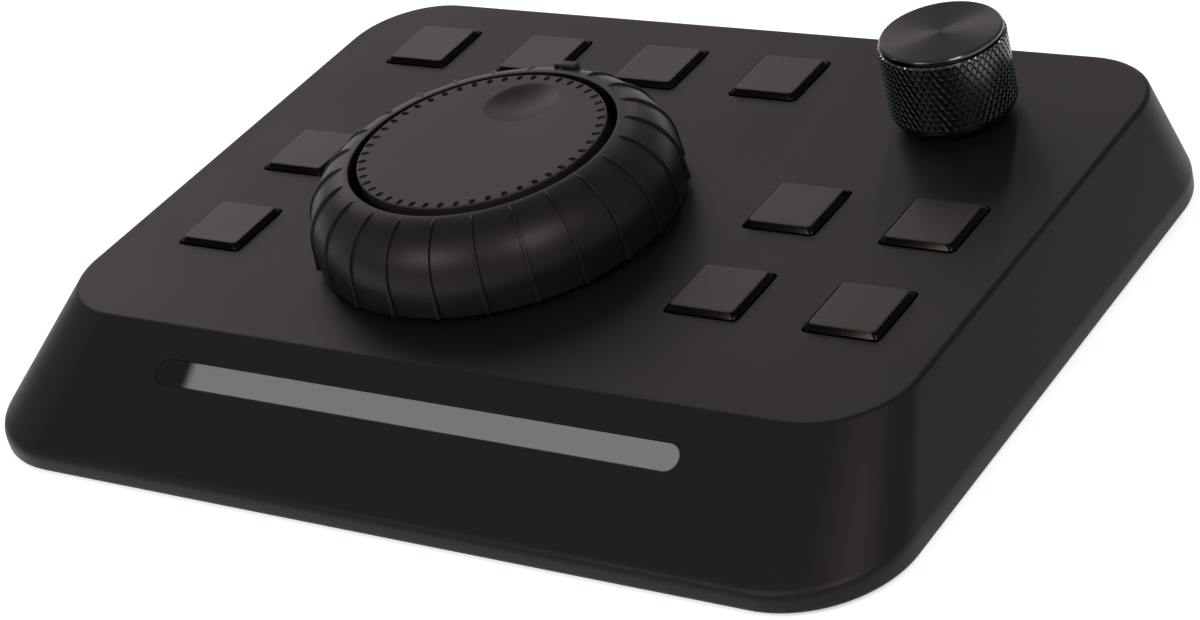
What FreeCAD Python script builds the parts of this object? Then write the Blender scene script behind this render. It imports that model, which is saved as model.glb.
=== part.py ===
"""Desk macro keypad: ten keys, a jog disc in a sprung shuttle ring, a push knob and a light bar.

Millimetres. The origin is on the desk, under the middle of the housing. +X is right,
+Y is towards the back and +Z is up. Every piece is written to parts/ as its own STEP file.
"""
import FreeCAD
import Part
import math
import os

from FreeCAD import Placement, Rotation, Vector

UP = Vector(0, 0, 1)
SIDEWAYS = Vector(1, 0, 0)
MARGIN = 1.0    # how far a cutter runs past what it cuts
OVERLAP = 0.1   # how far one form runs into another that it is fused with

# Housing
BASE_WIDTH = 177.2
BASE_DEPTH = 132.6
HOUSING_HEIGHT = 17.9
RIM_HEIGHT = 3.3
SIDE_SLOPE_RUN = 6.25
FRONT_SLOPE_RUN = 22.3
BACK_SLOPE_RUN = 0.95
BASE_CORNER_RADIUS = 18.6
TOP_CORNER_RADIUS = 15.3
TOP_EDGE_EASE = 0.45
RIM_CREASE_RADIUS = 2.0
RIM_FOOT_EASE = 0.5
CREASE_STEPS = 2
CORNER_STEPS = 3
REBATE_DEPTH = 2.6
WALL = 2.2
PANEL_THICKNESS = 2.2

# Base plate, feet and screws
PLATE_THICKNESS = 2.0
PLATE_CLEARANCE = 0.2
FOOT_RADIUS = 6.0
FOOT_PROUD = 1.0
FOOT_INSET_X = 16.0
FOOT_INSET_Y = 15.0
SCREW_RADIUS = 1.25
SCREW_HEAD_RADIUS = 2.3
SCREW_HEAD_HEIGHT = 1.2
SCREW_CLEARANCE = 0.05
SCREW_HOLE_CLEARANCE = 0.1
SCREW_HEAD_CLEARANCE = 0.25
SCREW_GRIP = 5.5
SCREW_END_GAP = 1.0
SCREW_SEAT_DEPTH = 2.0
BOSS_WALL = 1.9
PAD_WALL = 1.9
SCREW_INSET_X = 12.0    # from the circuit board's edges to the screws
SCREW_INSET_FRONT = 5.0
SCREW_INSET_BACK = 5.5

# Circuit board
BOARD_TOP = 8.0
BOARD_THICKNESS = 1.6
BOARD_INSET_X = 10.6    # from the housing's foot to the board's edge
BOARD_INSET_FRONT = 26.3
BOARD_INSET_BACK = 4.8
BOARD_CORNER_CUT = 4.0
CONTROLLER_SIZE = 7.0
CONTROLLER_X = 22.0
CONTROLLER_Y = 30.0
REGULATOR_WIDTH = 5.0
REGULATOR_DEPTH = 4.0
CHIP_SPACING = 10.0
CHIP_HEIGHT = 0.9

# Keys
KEY_PITCH = 25.4
ROW_PITCH = 25.1
KEY_COLUMNS = 6
COLUMNS_SHIFT = 1.2     # how far the key columns stand to the right of the middle
BACK_ROW_INSET = 17.4   # from the housing's foot at the back to the back row
MIDDLE_ROW_Y = 10.1
KEY_TOP = 11.7
KEY_FLARE = 0.8
KEY_PROUD = 1.0
KEY_CORNER_CUT = 0.9
KEY_CLEARANCE = 0.3
KEY_WALL = 1.3
KEY_CEILING = 1.3
KEY_FLANGE = 0.75
KEY_FLANGE_THICKNESS = 1.0
KEY_STOP_GAP = 0.3
KEY_POST_SIZE = 3.4
KEY_RIB_WIDTH = 0.8
KEY_TRAVEL = 0.7
GUIDE_WALL = 1.0
GUIDE_CLEARANCE = 0.35
GUIDE_DEPTH = 3.2
SWITCH_SIZE = 6.0
SWITCH_HEIGHT = 3.4
SWITCH_CHAMFER = 0.4
PLUNGER_SIZE = 2.4
PLUNGER_PROUD = 1.2
PLUNGER_SEAT = 0.4
PLUNGER_CLEARANCE = 0.06

# Dial, with its centre midway between the two side rows of keys
RING_LIP_RADIUS = 23.1
RING_LIP_WIDTH = 0.5
RING_TOP = 15.1
RING_WAIST_RADIUS = 31.9
RING_WAIST_HEIGHT = 5.0
RING_FOOT_RADIUS = 31.9
RING_GAP = 0.9
RING_WALL = 2.4
RING_WEB_HEIGHT = 7.0
RING_WEB_THICKNESS = 1.6
RING_HUB_RADIUS = 6.5
RING_HUB_FOOT = 4.0
SHOULDER_STEPS = 4
FIN_COUNT = 24
FIN_START_RADIUS = 24.4
FIN_PROUD = 0.4
FIN_ROOT = 0.8
FIN_TIP_RADIUS = 32.6
FIN_TIP_HEIGHT = 1.3
FIN_TOP_WIDTH = 0.4
FIN_FOOT_WIDTH = 1.3
POINTER_WIDTH = 4.6
POINTER_INNER_RADIUS = 25.4
POINTER_OUTER_RADIUS = 27.3
POINTER_TOP = 15.3
POINTER_FALL = 0.1
DISC_RADIUS = 21.5
DISC_TOP = 15.5
DISC_THICKNESS = 2.2
DISC_EDGE_EASE = 0.35
DISC_SKIRT_WALL = 1.5
DISC_SKIRT_DEPTH = 2.4
DIMPLE_RADIUS = 6.4
DIMPLE_DEPTH = 1.25
DIMPLE_OFFSET = 12.3
DIMPLE_STEPS = 3
JOG_HUB_RADIUS = 4.5
JOG_HUB_DEPTH = 4.2
JOG_RIB_COUNT = 6
JOG_RIB_WIDTH = 1.2
JOG_RIB_DEPTH = 1.6
JOG_SHAFT_RADIUS = 2.0
SLEEVE_RADIUS = 3.2
RUNNING_CLEARANCE = 0.05
SHAFT_BED = 1.5
SHAFT_FLAT = 0.6
DIAL_BODY_SIZE = 19.0
DIAL_BODY_CUT = 1.5
BODY_PANEL_GAP = 0.2
DIAL_BUSH_RADIUS = 4.6
DIAL_BUSH_PROUD = 3.6
BUSH_HOLE_CLEARANCE = 0.15
SPRING_RADIUS = 9.6
SPRING_WIRE = 0.8
SPRING_HEIGHT = 1.7
PEG_RADIUS = 1.0
FIXED_PEG_OFFSET = 12.6
FIXED_PEG_HEIGHT = 2.4
MOVING_PEG_OFFSET = 15.2
PEG_CLEARANCE = 0.1
SPRING_LEG_END = 16.6

# Knob, at the back right, midway between the last two key columns
KNOB_INSET = 23.5       # from the housing's foot at the back to the knob's axis
KNOB_RADIUS = 10.8
KNOB_TOP = 16.0
KNOB_GAP = 0.8
KNOB_FACE_RADIUS = 10.1
KNOB_FACE_CHAMFER = 0.3
KNOB_FACE_LIP = 0.8
KNOB_GROOVE_DEPTH = 0.5
KNOB_GROOVE_WIDTH = 0.35
KNOB_SHOULDER = 0.45
KNOB_BAND_HEIGHT = 1.8
KNOB_BAND_INSET = 0.35
KNOB_FOOT_RADIUS = 9.3
KNOB_CEILING = 2.6
KNOB_CORE_RADIUS = 8.2
KNOB_RECESS_DEPTH = 4.8
KNOB_PUSH = 0.5
KNOB_SHAFT_RADIUS = 3.0
KNOB_SHAFT_FLAT = 1.5
ENCODER_SIZE = 12.4
ENCODER_CUT = 0.8
ENCODER_BASE_THICKNESS = 1.0
ENCODER_CAVITY_RADIUS = 5.0
ENCODER_CEILING = 2.4
ENCODER_BUSH_RADIUS = 3.5
ENCODER_BUSH_PROUD = 4.0
ROTOR_CLEARANCE = 0.1
ROTOR_HEIGHT = 2.4
ROTOR_END_GAP = 0.3
DRIVE_SQUARE = 3.2
SHAFT_TOP_GAP = 0.8
DOME_RADIUS = 2.4
DOME_HEIGHT = 0.4
DOME_GAP = 0.1

# Light bar in the front slope
BAR_LENGTH = 104.1
BAR_WIDTH = 4.5
BAR_DROP = 8.3
BAR_CLEARANCE = 0.12
BAR_SEAT_GAP = 0.1
BAR_FLANGE = 1.6
BAR_FLANGE_THICKNESS = 1.0
BAR_SKIRT_DEPTH = 2.6
BAR_SKIRT_WALL = 1.0
LIGHT_BOARD_THICKNESS = 1.0
LED_COUNT = 9
LED_LENGTH = 3.0
LED_WIDTH = 1.6
LED_HEIGHT = 0.9
FLEX_WIDTH = 7.0
FLEX_THICKNESS = 0.3
FLEX_LOOP = 1.0
FLEX_LAP = 3.5

# Rear socket
SOCKET_X = 0.0
SOCKET_WIDTH = 8.94
SOCKET_HEIGHT = 3.26
SOCKET_LENGTH = 7.4
SOCKET_WALL = 0.3
SOCKET_BACK_WALL = 0.8
SOCKET_CLEARANCE = 0.2
SOCKET_INSET = 0.4
TONGUE_WIDTH = 6.7
TONGUE_THICKNESS = 0.7
TONGUE_RECESS = 0.8

# Levels and places that follow from the sizes above
RIM_FOOT = FOOT_PROUD
RIM_TOP = RIM_FOOT + RIM_HEIGHT
PANEL_TOP = RIM_FOOT + HOUSING_HEIGHT
PANEL_UNDER = PANEL_TOP - PANEL_THICKNESS
BOARD_UNDER = BOARD_TOP - BOARD_THICKNESS
SCREW_SEAT = BOARD_UNDER - SCREW_SEAT_DEPTH
SLOPE_RISE = PANEL_TOP - RIM_TOP
FRONT_ANGLE = math.degrees(math.atan2(SLOPE_RISE, FRONT_SLOPE_RUN))
SIDE_ANGLE = math.degrees(math.atan2(SLOPE_RISE, SIDE_SLOPE_RUN))
TOP_FRONT_Y = FRONT_SLOPE_RUN - BASE_DEPTH / 2
BOARD_WIDTH = BASE_WIDTH - 2 * BOARD_INSET_X
BOARD_FRONT_Y = BOARD_INSET_FRONT - BASE_DEPTH / 2
BOARD_BACK_Y = BASE_DEPTH / 2 - BOARD_INSET_BACK
FIRST_COLUMN_X = COLUMNS_SHIFT - KEY_PITCH * (KEY_COLUMNS - 1) / 2
BACK_ROW_Y = BASE_DEPTH / 2 - BACK_ROW_INSET
FRONT_ROW_Y = MIDDLE_ROW_Y - ROW_PITCH
DIAL_X = FIRST_COLUMN_X + 2 * KEY_PITCH
DIAL_Y = MIDDLE_ROW_Y - ROW_PITCH / 2
KNOB_X = FIRST_COLUMN_X + KEY_PITCH * (KEY_COLUMNS - 1.5)
KNOB_Y = BASE_DEPTH / 2 - KNOB_INSET
FRONT_SCREW_X = BOARD_WIDTH / 2 - SCREW_INSET_X
FRONT_SCREW_Y = BOARD_FRONT_Y + SCREW_INSET_FRONT
BACK_SCREW_X = FIRST_COLUMN_X + KEY_PITCH / 2
BACK_SCREW_Y = BOARD_BACK_Y - SCREW_INSET_BACK
KEY_SIZE = KEY_TOP + 2 * KEY_FLARE
KEY_APERTURE = KEY_SIZE + 2 * KEY_CLEARANCE
KEY_APERTURE_CUT = KEY_CORNER_CUT + (2 - math.sqrt(2)) * KEY_CLEARANCE
KEY_FLANGE_SIZE = KEY_APERTURE + 2 * KEY_FLANGE
KEY_FLANGE_TOP = PANEL_UNDER - KEY_STOP_GAP
BODY_TOP = PANEL_UNDER - BODY_PANEL_GAP
BAR_BACK = -WALL - BAR_FLANGE_THICKNESS
KEY_PLACES = [(FIRST_COLUMN_X + column * KEY_PITCH, BACK_ROW_Y) for column in range(KEY_COLUMNS - 2)]
KEY_PLACES += [(FIRST_COLUMN_X + column * KEY_PITCH, row)
               for row in (MIDDLE_ROW_Y, FRONT_ROW_Y) for column in (0, KEY_COLUMNS - 2, KEY_COLUMNS - 1)]
SCREW_PLACES = [(side * x, y) for side in (-1, 1)
                for x, y in ((FRONT_SCREW_X, FRONT_SCREW_Y), (BACK_SCREW_X, BACK_SCREW_Y))]


def cylinder(radius, low, high, x=0.0, y=0.0):
    """Upright cylinder between two heights."""
    return Part.makeCylinder(radius, high - low, Vector(x, y, low))


def tube(outer, inner, low, high, x=0.0, y=0.0):
    """Upright tube between two heights."""
    return cylinder(outer, low, high, x, y).cut(cylinder(inner, low - MARGIN, high + MARGIN, x, y))


def block(width, depth, low, high, x=0.0, y=0.0):
    """Upright box centred on x, y between two heights."""
    return Part.makeBox(width, depth, high - low, Vector(x - width / 2, y - depth / 2, low))


def join(shapes):
    """One solid fused from several."""
    first, *rest = shapes
    return first.multiFuse(rest).removeSplitter() if rest else first


def group(shapes):
    """Separate solids kept in one node."""
    return Part.makeCompound(shapes)


def line(start, end):
    """Straight edge between two points."""
    return Part.LineSegment(start, end).toShape()


def corner_points(left, right, front, back, radius, height, steps):
    """Points along each round corner of a rectangle, one list for each corner."""
    corners = ((right - radius, back - radius, 0), (left + radius, back - radius, 90),
               (left + radius, front + radius, 180), (right - radius, front + radius, 270))
    rows = []
    for x, y, start in corners:
        turns = [math.radians(start + 90 * step / steps) for step in range(steps + 1)]
        rows.append([Vector(x + radius * math.cos(turn), y + radius * math.sin(turn), height)
                     for turn in turns])
    return rows


def rounded_outline(left, right, front, back, radius, height):
    """Wire of a rectangle with round corners."""
    corners = corner_points(left, right, front, back, radius, height, 2)
    edges = []
    for points, following in zip(corners, corners[1:] + corners[:1]):
        edges += [Part.Arc(*points).toShape(), line(points[-1], following[0])]
    return Part.Wire(edges)


def faceted_outline(left, right, front, back, radius, height):
    """Wire of a rectangle with corners in straight steps, for hidden walls."""
    points = [point for row in corner_points(left, right, front, back, radius, height, CORNER_STEPS)
              for point in row]
    return Part.makePolygon(points + points[:1])


def prism(outline, height):
    """Upright prism on a flat closed outline."""
    return Part.Face(outline).extrude(UP * height)


def cut_block(width, depth, cut, low, high, x=0.0, y=0.0):
    """Upright box with its four upright edges cut off at 45 degrees."""
    body = block(width, depth, low, high, x, y)
    return body.makeChamfer(cut, upright_edges(body))


def slot_block(length, width, low, high):
    """Upright prism on a slot with round ends, lying along X."""
    half = (length - width) / 2
    ends = [cylinder(width / 2, low, high, side * half) for side in (-1, 1)]
    return join([block(2 * half, width, low, high)] + ends)


def turned(points, x=0.0, y=0.0, z=0.0):
    """Solid turned about an upright axis from radius and height pairs."""
    wire = Part.makePolygon([Vector(radius, 0, height) for radius, height in points + points[:1]])
    solid = Part.Face(wire).revolve(Vector(0, 0, 0), UP, 360)
    solid.translate(Vector(x, y, z))
    return solid


def ring_of(shape, count, centre):
    """Copies of a shape spread evenly round an upright axis."""
    copies = []
    for index in range(count):
        copy = shape.copy()
        copy.rotate(centre, UP, 360.0 * index / count)
        copies.append(copy)
    return copies


def edges_at(shape, height, tolerance=0.01):
    """Edges that lie flat at one height."""
    return [edge for edge in shape.Edges
            if abs(edge.BoundBox.ZMin - height) < tolerance and abs(edge.BoundBox.ZMax - height) < tolerance]


def upright_edges(shape):
    """Upright edges of a block."""
    return [edge for edge in shape.Edges
            if edge.BoundBox.ZLength > max(edge.BoundBox.XLength, edge.BoundBox.YLength)]


def slope_inset(height, run):
    """How far one side has come in at a height: upright, then a soft crease, then its slope."""
    turn = math.atan2(run, SLOPE_RISE)
    tangent = RIM_CREASE_RADIUS * math.tan(turn / 2)
    above = height - RIM_TOP
    if above <= -tangent:
        return 0.0
    if above >= tangent * math.cos(turn):
        return above * math.tan(turn)
    return RIM_CREASE_RADIUS - math.sqrt(RIM_CREASE_RADIUS ** 2 - (above + tangent) ** 2)


def housing_limits(height, inset=0.0, front_inset=0.0, side_inset=0.0):
    """Left, right, front, back and corner radius of the housing at a height, moved in from the outside."""
    share = max(0.0, (height - RIM_TOP) / SLOPE_RISE)
    side = BASE_WIDTH / 2 - slope_inset(height, SIDE_SLOPE_RUN) - inset - side_inset
    front = -BASE_DEPTH / 2 + slope_inset(height, FRONT_SLOPE_RUN) + inset + front_inset
    back = BASE_DEPTH / 2 - slope_inset(height, BACK_SLOPE_RUN) - inset
    radius = BASE_CORNER_RADIUS + share * (TOP_CORNER_RADIUS - BASE_CORNER_RADIUS) - inset
    return -side, side, front, back, radius


def rim_limits(inset):
    """Left, right, front, back and corner radius of the upright rim band, moved in from the outside."""
    return (-BASE_WIDTH / 2 + inset, BASE_WIDTH / 2 - inset, -BASE_DEPTH / 2 + inset,
            BASE_DEPTH / 2 - inset, BASE_CORNER_RADIUS - inset)


def on_front_slope(shape):
    """Move a shape drawn flat, facing up, onto the light bar's place in the front slope."""
    angle = math.radians(FRONT_ANGLE)
    centre = Vector(0, TOP_FRONT_Y - BAR_DROP * math.cos(angle), PANEL_TOP - BAR_DROP * math.sin(angle))
    placed = shape.copy()
    placed.Placement = Placement(centre, Rotation(SIDEWAYS, FRONT_ANGLE)).multiply(placed.Placement)
    return placed


def housing_body():
    """Outer form of the housing: an upright rim band that turns softly into four slopes."""
    turn = math.atan2(FRONT_SLOPE_RUN, SLOPE_RISE)
    tangent = RIM_CREASE_RADIUS * math.tan(turn / 2)
    low = RIM_TOP - tangent
    high = RIM_TOP + tangent * math.cos(turn)
    levels = [low + (high - low) * step / CREASE_STEPS for step in range(CREASE_STEPS + 1)]
    sections = [rounded_outline(*rim_limits(RIM_FOOT_EASE), RIM_FOOT),
                rounded_outline(*rim_limits(0), RIM_FOOT + RIM_FOOT_EASE)]
    sections += [rounded_outline(*housing_limits(level), level) for level in levels]
    eased = PANEL_TOP - TOP_EDGE_EASE
    sections += [rounded_outline(*housing_limits(eased), eased),
                 rounded_outline(*housing_limits(PANEL_TOP, TOP_EDGE_EASE), PANEL_TOP)]
    return Part.makeLoft(sections, True, True)


def housing_cavity():
    """Room inside the housing, with the wall measured square to each slope."""
    front = WALL / math.sin(math.radians(FRONT_ANGLE)) - WALL
    side = WALL / math.sin(math.radians(SIDE_ANGLE)) - WALL
    rebate = prism(rounded_outline(*rim_limits(WALL), RIM_FOOT - MARGIN), REBATE_DEPTH + MARGIN)
    levels = (RIM_FOOT, RIM_TOP + RIM_CREASE_RADIUS, PANEL_UNDER)
    sections = [faceted_outline(*housing_limits(level, WALL, front, side), level) for level in levels]
    return rebate.fuse(Part.makeLoft(sections, True, True))


def boss(x, y):
    """Screw boss that hangs from the panel down to the circuit board."""
    return cylinder(SCREW_RADIUS + BOSS_WALL, BOARD_TOP, PANEL_UNDER + OVERLAP, x, y)


def boss_bore(x, y):
    """Bore up into a boss for the length of the screw."""
    return cylinder(SCREW_RADIUS + SCREW_CLEARANCE, BOARD_TOP - MARGIN, BOARD_TOP + SCREW_GRIP, x, y)


def key_guide(x, y):
    """Square collar under the panel that guides a key's flange."""
    inner = KEY_FLANGE_SIZE + 2 * GUIDE_CLEARANCE
    outer = inner + 2 * GUIDE_WALL
    collar = block(outer, outer, PANEL_UNDER - GUIDE_DEPTH, PANEL_UNDER + OVERLAP, x, y)
    return collar.cut(block(inner, inner, PANEL_UNDER - GUIDE_DEPTH - MARGIN, PANEL_UNDER, x, y))


def socket_opening():
    """Cut through the back wall for the socket's mouth."""
    height = BOARD_TOP + SOCKET_HEIGHT / 2
    width = SOCKET_WIDTH + 2 * SOCKET_CLEARANCE
    tall = SOCKET_HEIGHT + 2 * SOCKET_CLEARANCE
    cutter = slot_block(width, tall, 0, 6 * WALL)
    cutter.rotate(Vector(0, 0, 0), SIDEWAYS, -90)
    cutter.translate(Vector(SOCKET_X, BASE_DEPTH / 2 - 3 * WALL, height))
    return cutter


def top_shell():
    """Moulded housing: panel, slopes and rim with apertures, guides and bosses."""
    peg = cylinder(PEG_RADIUS, PANEL_UNDER + OVERLAP, PANEL_TOP + FIXED_PEG_HEIGHT, DIAL_X,
                   DIAL_Y + FIXED_PEG_OFFSET)
    added = [boss(x, y) for x, y in SCREW_PLACES] + [key_guide(x, y) for x, y in KEY_PLACES] + [peg]
    shell = housing_body().cut(housing_cavity()).multiFuse(added)
    low = PANEL_UNDER - MARGIN
    high = PANEL_TOP + MARGIN
    cutters = [boss_bore(x, y) for x, y in SCREW_PLACES]
    cutters += [cut_block(KEY_APERTURE, KEY_APERTURE, KEY_APERTURE_CUT, low, high, x, y)
                for x, y in KEY_PLACES]
    cutters += [cylinder(DIAL_BUSH_RADIUS + BUSH_HOLE_CLEARANCE, low, high, DIAL_X, DIAL_Y),
                cylinder(ENCODER_BUSH_RADIUS + BUSH_HOLE_CLEARANCE, low, high, KNOB_X, KNOB_Y),
                on_front_slope(slot_block(BAR_LENGTH + 2 * BAR_CLEARANCE, BAR_WIDTH + 2 * BAR_CLEARANCE,
                                          -2 * WALL, WALL)),
                socket_opening()]
    return shell.cut(cutters).removeSplitter()


def base_plate():
    """Flat bottom cover with pads that hold the circuit board up to the bosses."""
    plate = prism(rounded_outline(*rim_limits(WALL + PLATE_CLEARANCE), RIM_FOOT), PLATE_THICKNESS)
    pad = 2 * (SCREW_HEAD_RADIUS + PAD_WALL)
    pads = [block(pad, pad, RIM_FOOT, BOARD_UNDER, x, y) for x, y in SCREW_PLACES]
    cutters = []
    for x, y in SCREW_PLACES:
        cutters.append(cylinder(SCREW_RADIUS + SCREW_HOLE_CLEARANCE, 0, BOARD_TOP, x, y))
        cutters.append(cylinder(SCREW_HEAD_RADIUS + SCREW_HEAD_CLEARANCE, 0, SCREW_SEAT, x, y))
    return plate.multiFuse(pads).cut(cutters).removeSplitter()


def rubber_feet():
    """Four stuck-on rubber feet."""
    x = BASE_WIDTH / 2 - FOOT_INSET_X
    y = BASE_DEPTH / 2 - FOOT_INSET_Y
    return group([cylinder(FOOT_RADIUS, 0, RIM_FOOT, i * x, j * y) for i in (-1, 1) for j in (-1, 1)])


def case_screws():
    """Long screws that clamp base plate and circuit board to the housing."""
    screws = []
    for x, y in SCREW_PLACES:
        head = cylinder(SCREW_HEAD_RADIUS, SCREW_SEAT - SCREW_HEAD_HEIGHT, SCREW_SEAT, x, y)
        shank = cylinder(SCREW_RADIUS, SCREW_SEAT, BOARD_TOP + SCREW_GRIP - SCREW_END_GAP, x, y)
        screws.append(join([head, shank]))
    return group(screws)


def main_board():
    """Circuit board that carries the switches, the encoders and the socket."""
    board = cut_block(BOARD_WIDTH, BOARD_BACK_Y - BOARD_FRONT_Y, BOARD_CORNER_CUT, BOARD_UNDER, BOARD_TOP, 0,
                      (BOARD_FRONT_Y + BOARD_BACK_Y) / 2)
    holes = [cylinder(SCREW_RADIUS + SCREW_HOLE_CLEARANCE, BOARD_UNDER - MARGIN, BOARD_TOP + MARGIN, x, y)
             for x, y in SCREW_PLACES]
    return board.cut(holes)


def board_chips():
    """Controller and regulator on the upper side of the circuit board."""
    controller = block(CONTROLLER_SIZE, CONTROLLER_SIZE, BOARD_TOP, BOARD_TOP + CHIP_HEIGHT, CONTROLLER_X,
                       CONTROLLER_Y)
    regulator = block(REGULATOR_WIDTH, REGULATOR_DEPTH, BOARD_TOP, BOARD_TOP + CHIP_HEIGHT,
                      CONTROLLER_X - CHIP_SPACING, CONTROLLER_Y)
    return group([controller, regulator])


def switch_bodies():
    """Ten tactile switch housings on the circuit board, each with a square well for its plunger."""
    top = BOARD_TOP + SWITCH_HEIGHT
    well = PLUNGER_SIZE + 2 * PLUNGER_CLEARANCE
    bodies = []
    for x, y in KEY_PLACES:
        body = block(SWITCH_SIZE, SWITCH_SIZE, BOARD_TOP, top, x, y)
        body = body.makeChamfer(SWITCH_CHAMFER, edges_at(body, top))
        bodies.append(body.cut(block(well, well, top - PLUNGER_SEAT - 2 * KEY_TRAVEL, top + MARGIN, x, y)))
    return group(bodies)


def switch_plunger(x, y):
    """Square plunger of one tactile switch."""
    top = BOARD_TOP + SWITCH_HEIGHT
    return block(PLUNGER_SIZE, PLUNGER_SIZE, top - PLUNGER_SEAT, top + PLUNGER_PROUD, x, y)


def keycap(x, y):
    """Low square keycap: bevelled sides, hollow skirt, stop flange, ribs and a cross-shaped post."""
    top = PANEL_TOP + KEY_PROUD
    ceiling = top - KEY_CEILING
    post_foot = BOARD_TOP + SWITCH_HEIGHT + PLUNGER_PROUD
    flange_foot = KEY_FLANGE_TOP - KEY_FLANGE_THICKNESS
    cap = cut_block(KEY_SIZE, KEY_SIZE, KEY_CORNER_CUT, flange_foot, top, x, y)
    cap = cap.makeChamfer(KEY_PROUD, KEY_FLARE, edges_at(cap, top))
    flange = block(KEY_FLANGE_SIZE, KEY_FLANGE_SIZE, flange_foot, KEY_FLANGE_TOP, x, y)
    room = KEY_SIZE - 2 * KEY_WALL
    hollow = block(room, room, flange_foot - MARGIN, ceiling, x, y)
    bars = []
    for along, across in ((room, KEY_RIB_WIDTH), (KEY_RIB_WIDTH, room)):
        bars.append(block(along, across, flange_foot, ceiling, x, y))
    for along, across in ((KEY_POST_SIZE, KEY_RIB_WIDTH), (KEY_RIB_WIDTH, KEY_POST_SIZE)):
        bars.append(block(along, across, post_foot, ceiling, x, y))
    return join([cap.fuse(flange).cut(hollow)] + bars)


def at_dial(shape):
    """Move a shape drawn at the origin onto the panel under the dial's axis."""
    shape.translate(Vector(DIAL_X, DIAL_Y, PANEL_TOP))
    return shape


def shoulder_arc(inset):
    """Centre and radius of the ring's shoulder arc, moved in from the outer surface."""
    rise = RING_TOP - RING_WAIST_HEIGHT
    run = RING_WAIST_RADIUS - RING_LIP_RADIUS - RING_LIP_WIDTH
    radius = (rise * rise + run * run) / (2 * run)
    return RING_WAIST_RADIUS - radius, radius - inset


def shoulder_height(inset, reach):
    """Height of the moved-in shoulder arc at a distance from the axis, and of the waist beyond it."""
    centre, radius = shoulder_arc(inset)
    return RING_WAIST_HEIGHT + math.sqrt(max(0.0, radius ** 2 - (reach - centre) ** 2))


def shoulder_reach(inset, height):
    """Distance from the axis of the moved-in shoulder arc at a height."""
    centre, radius = shoulder_arc(inset)
    return centre + math.sqrt(radius ** 2 - (height - RING_WAIST_HEIGHT) ** 2)


def shoulder_points(inset, start):
    """Radius and height pairs in short steps along the moved-in shoulder arc, from a radius to the waist."""
    centre, radius = shoulder_arc(inset)
    first = math.acos((start - centre) / radius)
    turns = [first * (1 - step / SHOULDER_STEPS) for step in range(SHOULDER_STEPS + 1)]
    return [(centre + radius * math.cos(turn), RING_WAIST_HEIGHT + radius * math.sin(turn)) for turn in turns]


def fin():
    """One grip fin at 3 o'clock: follows the shoulder, drops straight below the waist and widens."""
    profile = shoulder_points(-FIN_PROUD, FIN_START_RADIUS)
    profile += [(FIN_TIP_RADIUS, FIN_TIP_HEIGHT), (RING_FOOT_RADIUS - FIN_ROOT, FIN_TIP_HEIGHT)]
    profile += shoulder_points(FIN_ROOT, FIN_START_RADIUS)[::-1]
    points = [Vector(radius, 0, height) for radius, height in profile + profile[:1]]
    blade = Part.Face(Part.makePolygon(points)).extrude(Vector(0, FIN_FOOT_WIDTH, 0))
    blade.translate(Vector(0, -FIN_FOOT_WIDTH / 2, 0))
    crest = RING_TOP + FIN_PROUD
    widths = ((-FIN_FOOT_WIDTH, FIN_TIP_HEIGHT), (FIN_FOOT_WIDTH, FIN_TIP_HEIGHT),
              (FIN_TOP_WIDTH, crest), (-FIN_TOP_WIDTH, crest))
    corners = [Vector(0, width / 2, height) for width, height in widths]
    wedge = Part.Face(Part.makePolygon(corners + corners[:1])).extrude(SIDEWAYS * 2 * RING_WAIST_RADIUS)
    return at_dial(blade.common(wedge))


def pointer():
    """Block on the back of the ring's shoulder that shows its middle position."""
    root = RING_WALL / 2
    corners = [Vector(0, POINTER_INNER_RADIUS, shoulder_height(root, POINTER_INNER_RADIUS)),
               Vector(0, POINTER_INNER_RADIUS, POINTER_TOP),
               Vector(0, POINTER_OUTER_RADIUS, POINTER_TOP - POINTER_FALL),
               Vector(0, POINTER_OUTER_RADIUS, shoulder_height(root, POINTER_OUTER_RADIUS))]
    block = Part.Face(Part.makePolygon(corners + corners[:1])).extrude(SIDEWAYS * POINTER_WIDTH)
    block.translate(SIDEWAYS * (-POINTER_WIDTH / 2))
    return at_dial(block)


def shuttle_ring():
    """Shuttle ring in one moulding: finned skin, web and hub, and a peg for the spring."""
    web_top = RING_WEB_HEIGHT + RING_WEB_THICKNESS
    bore = SLEEVE_RADIUS + RUNNING_CLEARANCE
    profile = [(RING_LIP_RADIUS, RING_TOP)]
    profile += shoulder_points(0, RING_LIP_RADIUS + RING_LIP_WIDTH)
    profile += [(RING_FOOT_RADIUS, RING_GAP), (RING_FOOT_RADIUS - RING_WALL, RING_GAP),
                (RING_FOOT_RADIUS - RING_WALL, RING_WEB_HEIGHT), (RING_HUB_RADIUS, RING_WEB_HEIGHT),
                (RING_HUB_RADIUS, RING_HUB_FOOT),
                (bore, RING_HUB_FOOT), (bore, web_top),
                (shoulder_reach(RING_WALL, web_top), web_top), (RING_LIP_RADIUS, RING_TOP - RING_WALL)]
    peg = cylinder(PEG_RADIUS, PANEL_TOP + SPRING_HEIGHT - SPRING_WIRE, PANEL_TOP + RING_WEB_HEIGHT + OVERLAP,
                   DIAL_X, DIAL_Y + MOVING_PEG_OFFSET)
    body = turned(profile, DIAL_X, DIAL_Y, PANEL_TOP)
    fins = ring_of(fin(), FIN_COUNT, Vector(DIAL_X, DIAL_Y, 0))
    return body.multiFuse(fins + [pointer(), peg]).removeSplitter()


def shuttle_sleeve():
    """Outer hollow shaft of the dial encoder, which carries the ring's hub."""
    top = PANEL_TOP + RING_WEB_HEIGHT + RING_WEB_THICKNESS
    return tube(SLEEVE_RADIUS, JOG_SHAFT_RADIUS + RUNNING_CLEARANCE, BOARD_TOP + 2 * SHAFT_BED, top,
                DIAL_X, DIAL_Y)


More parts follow.
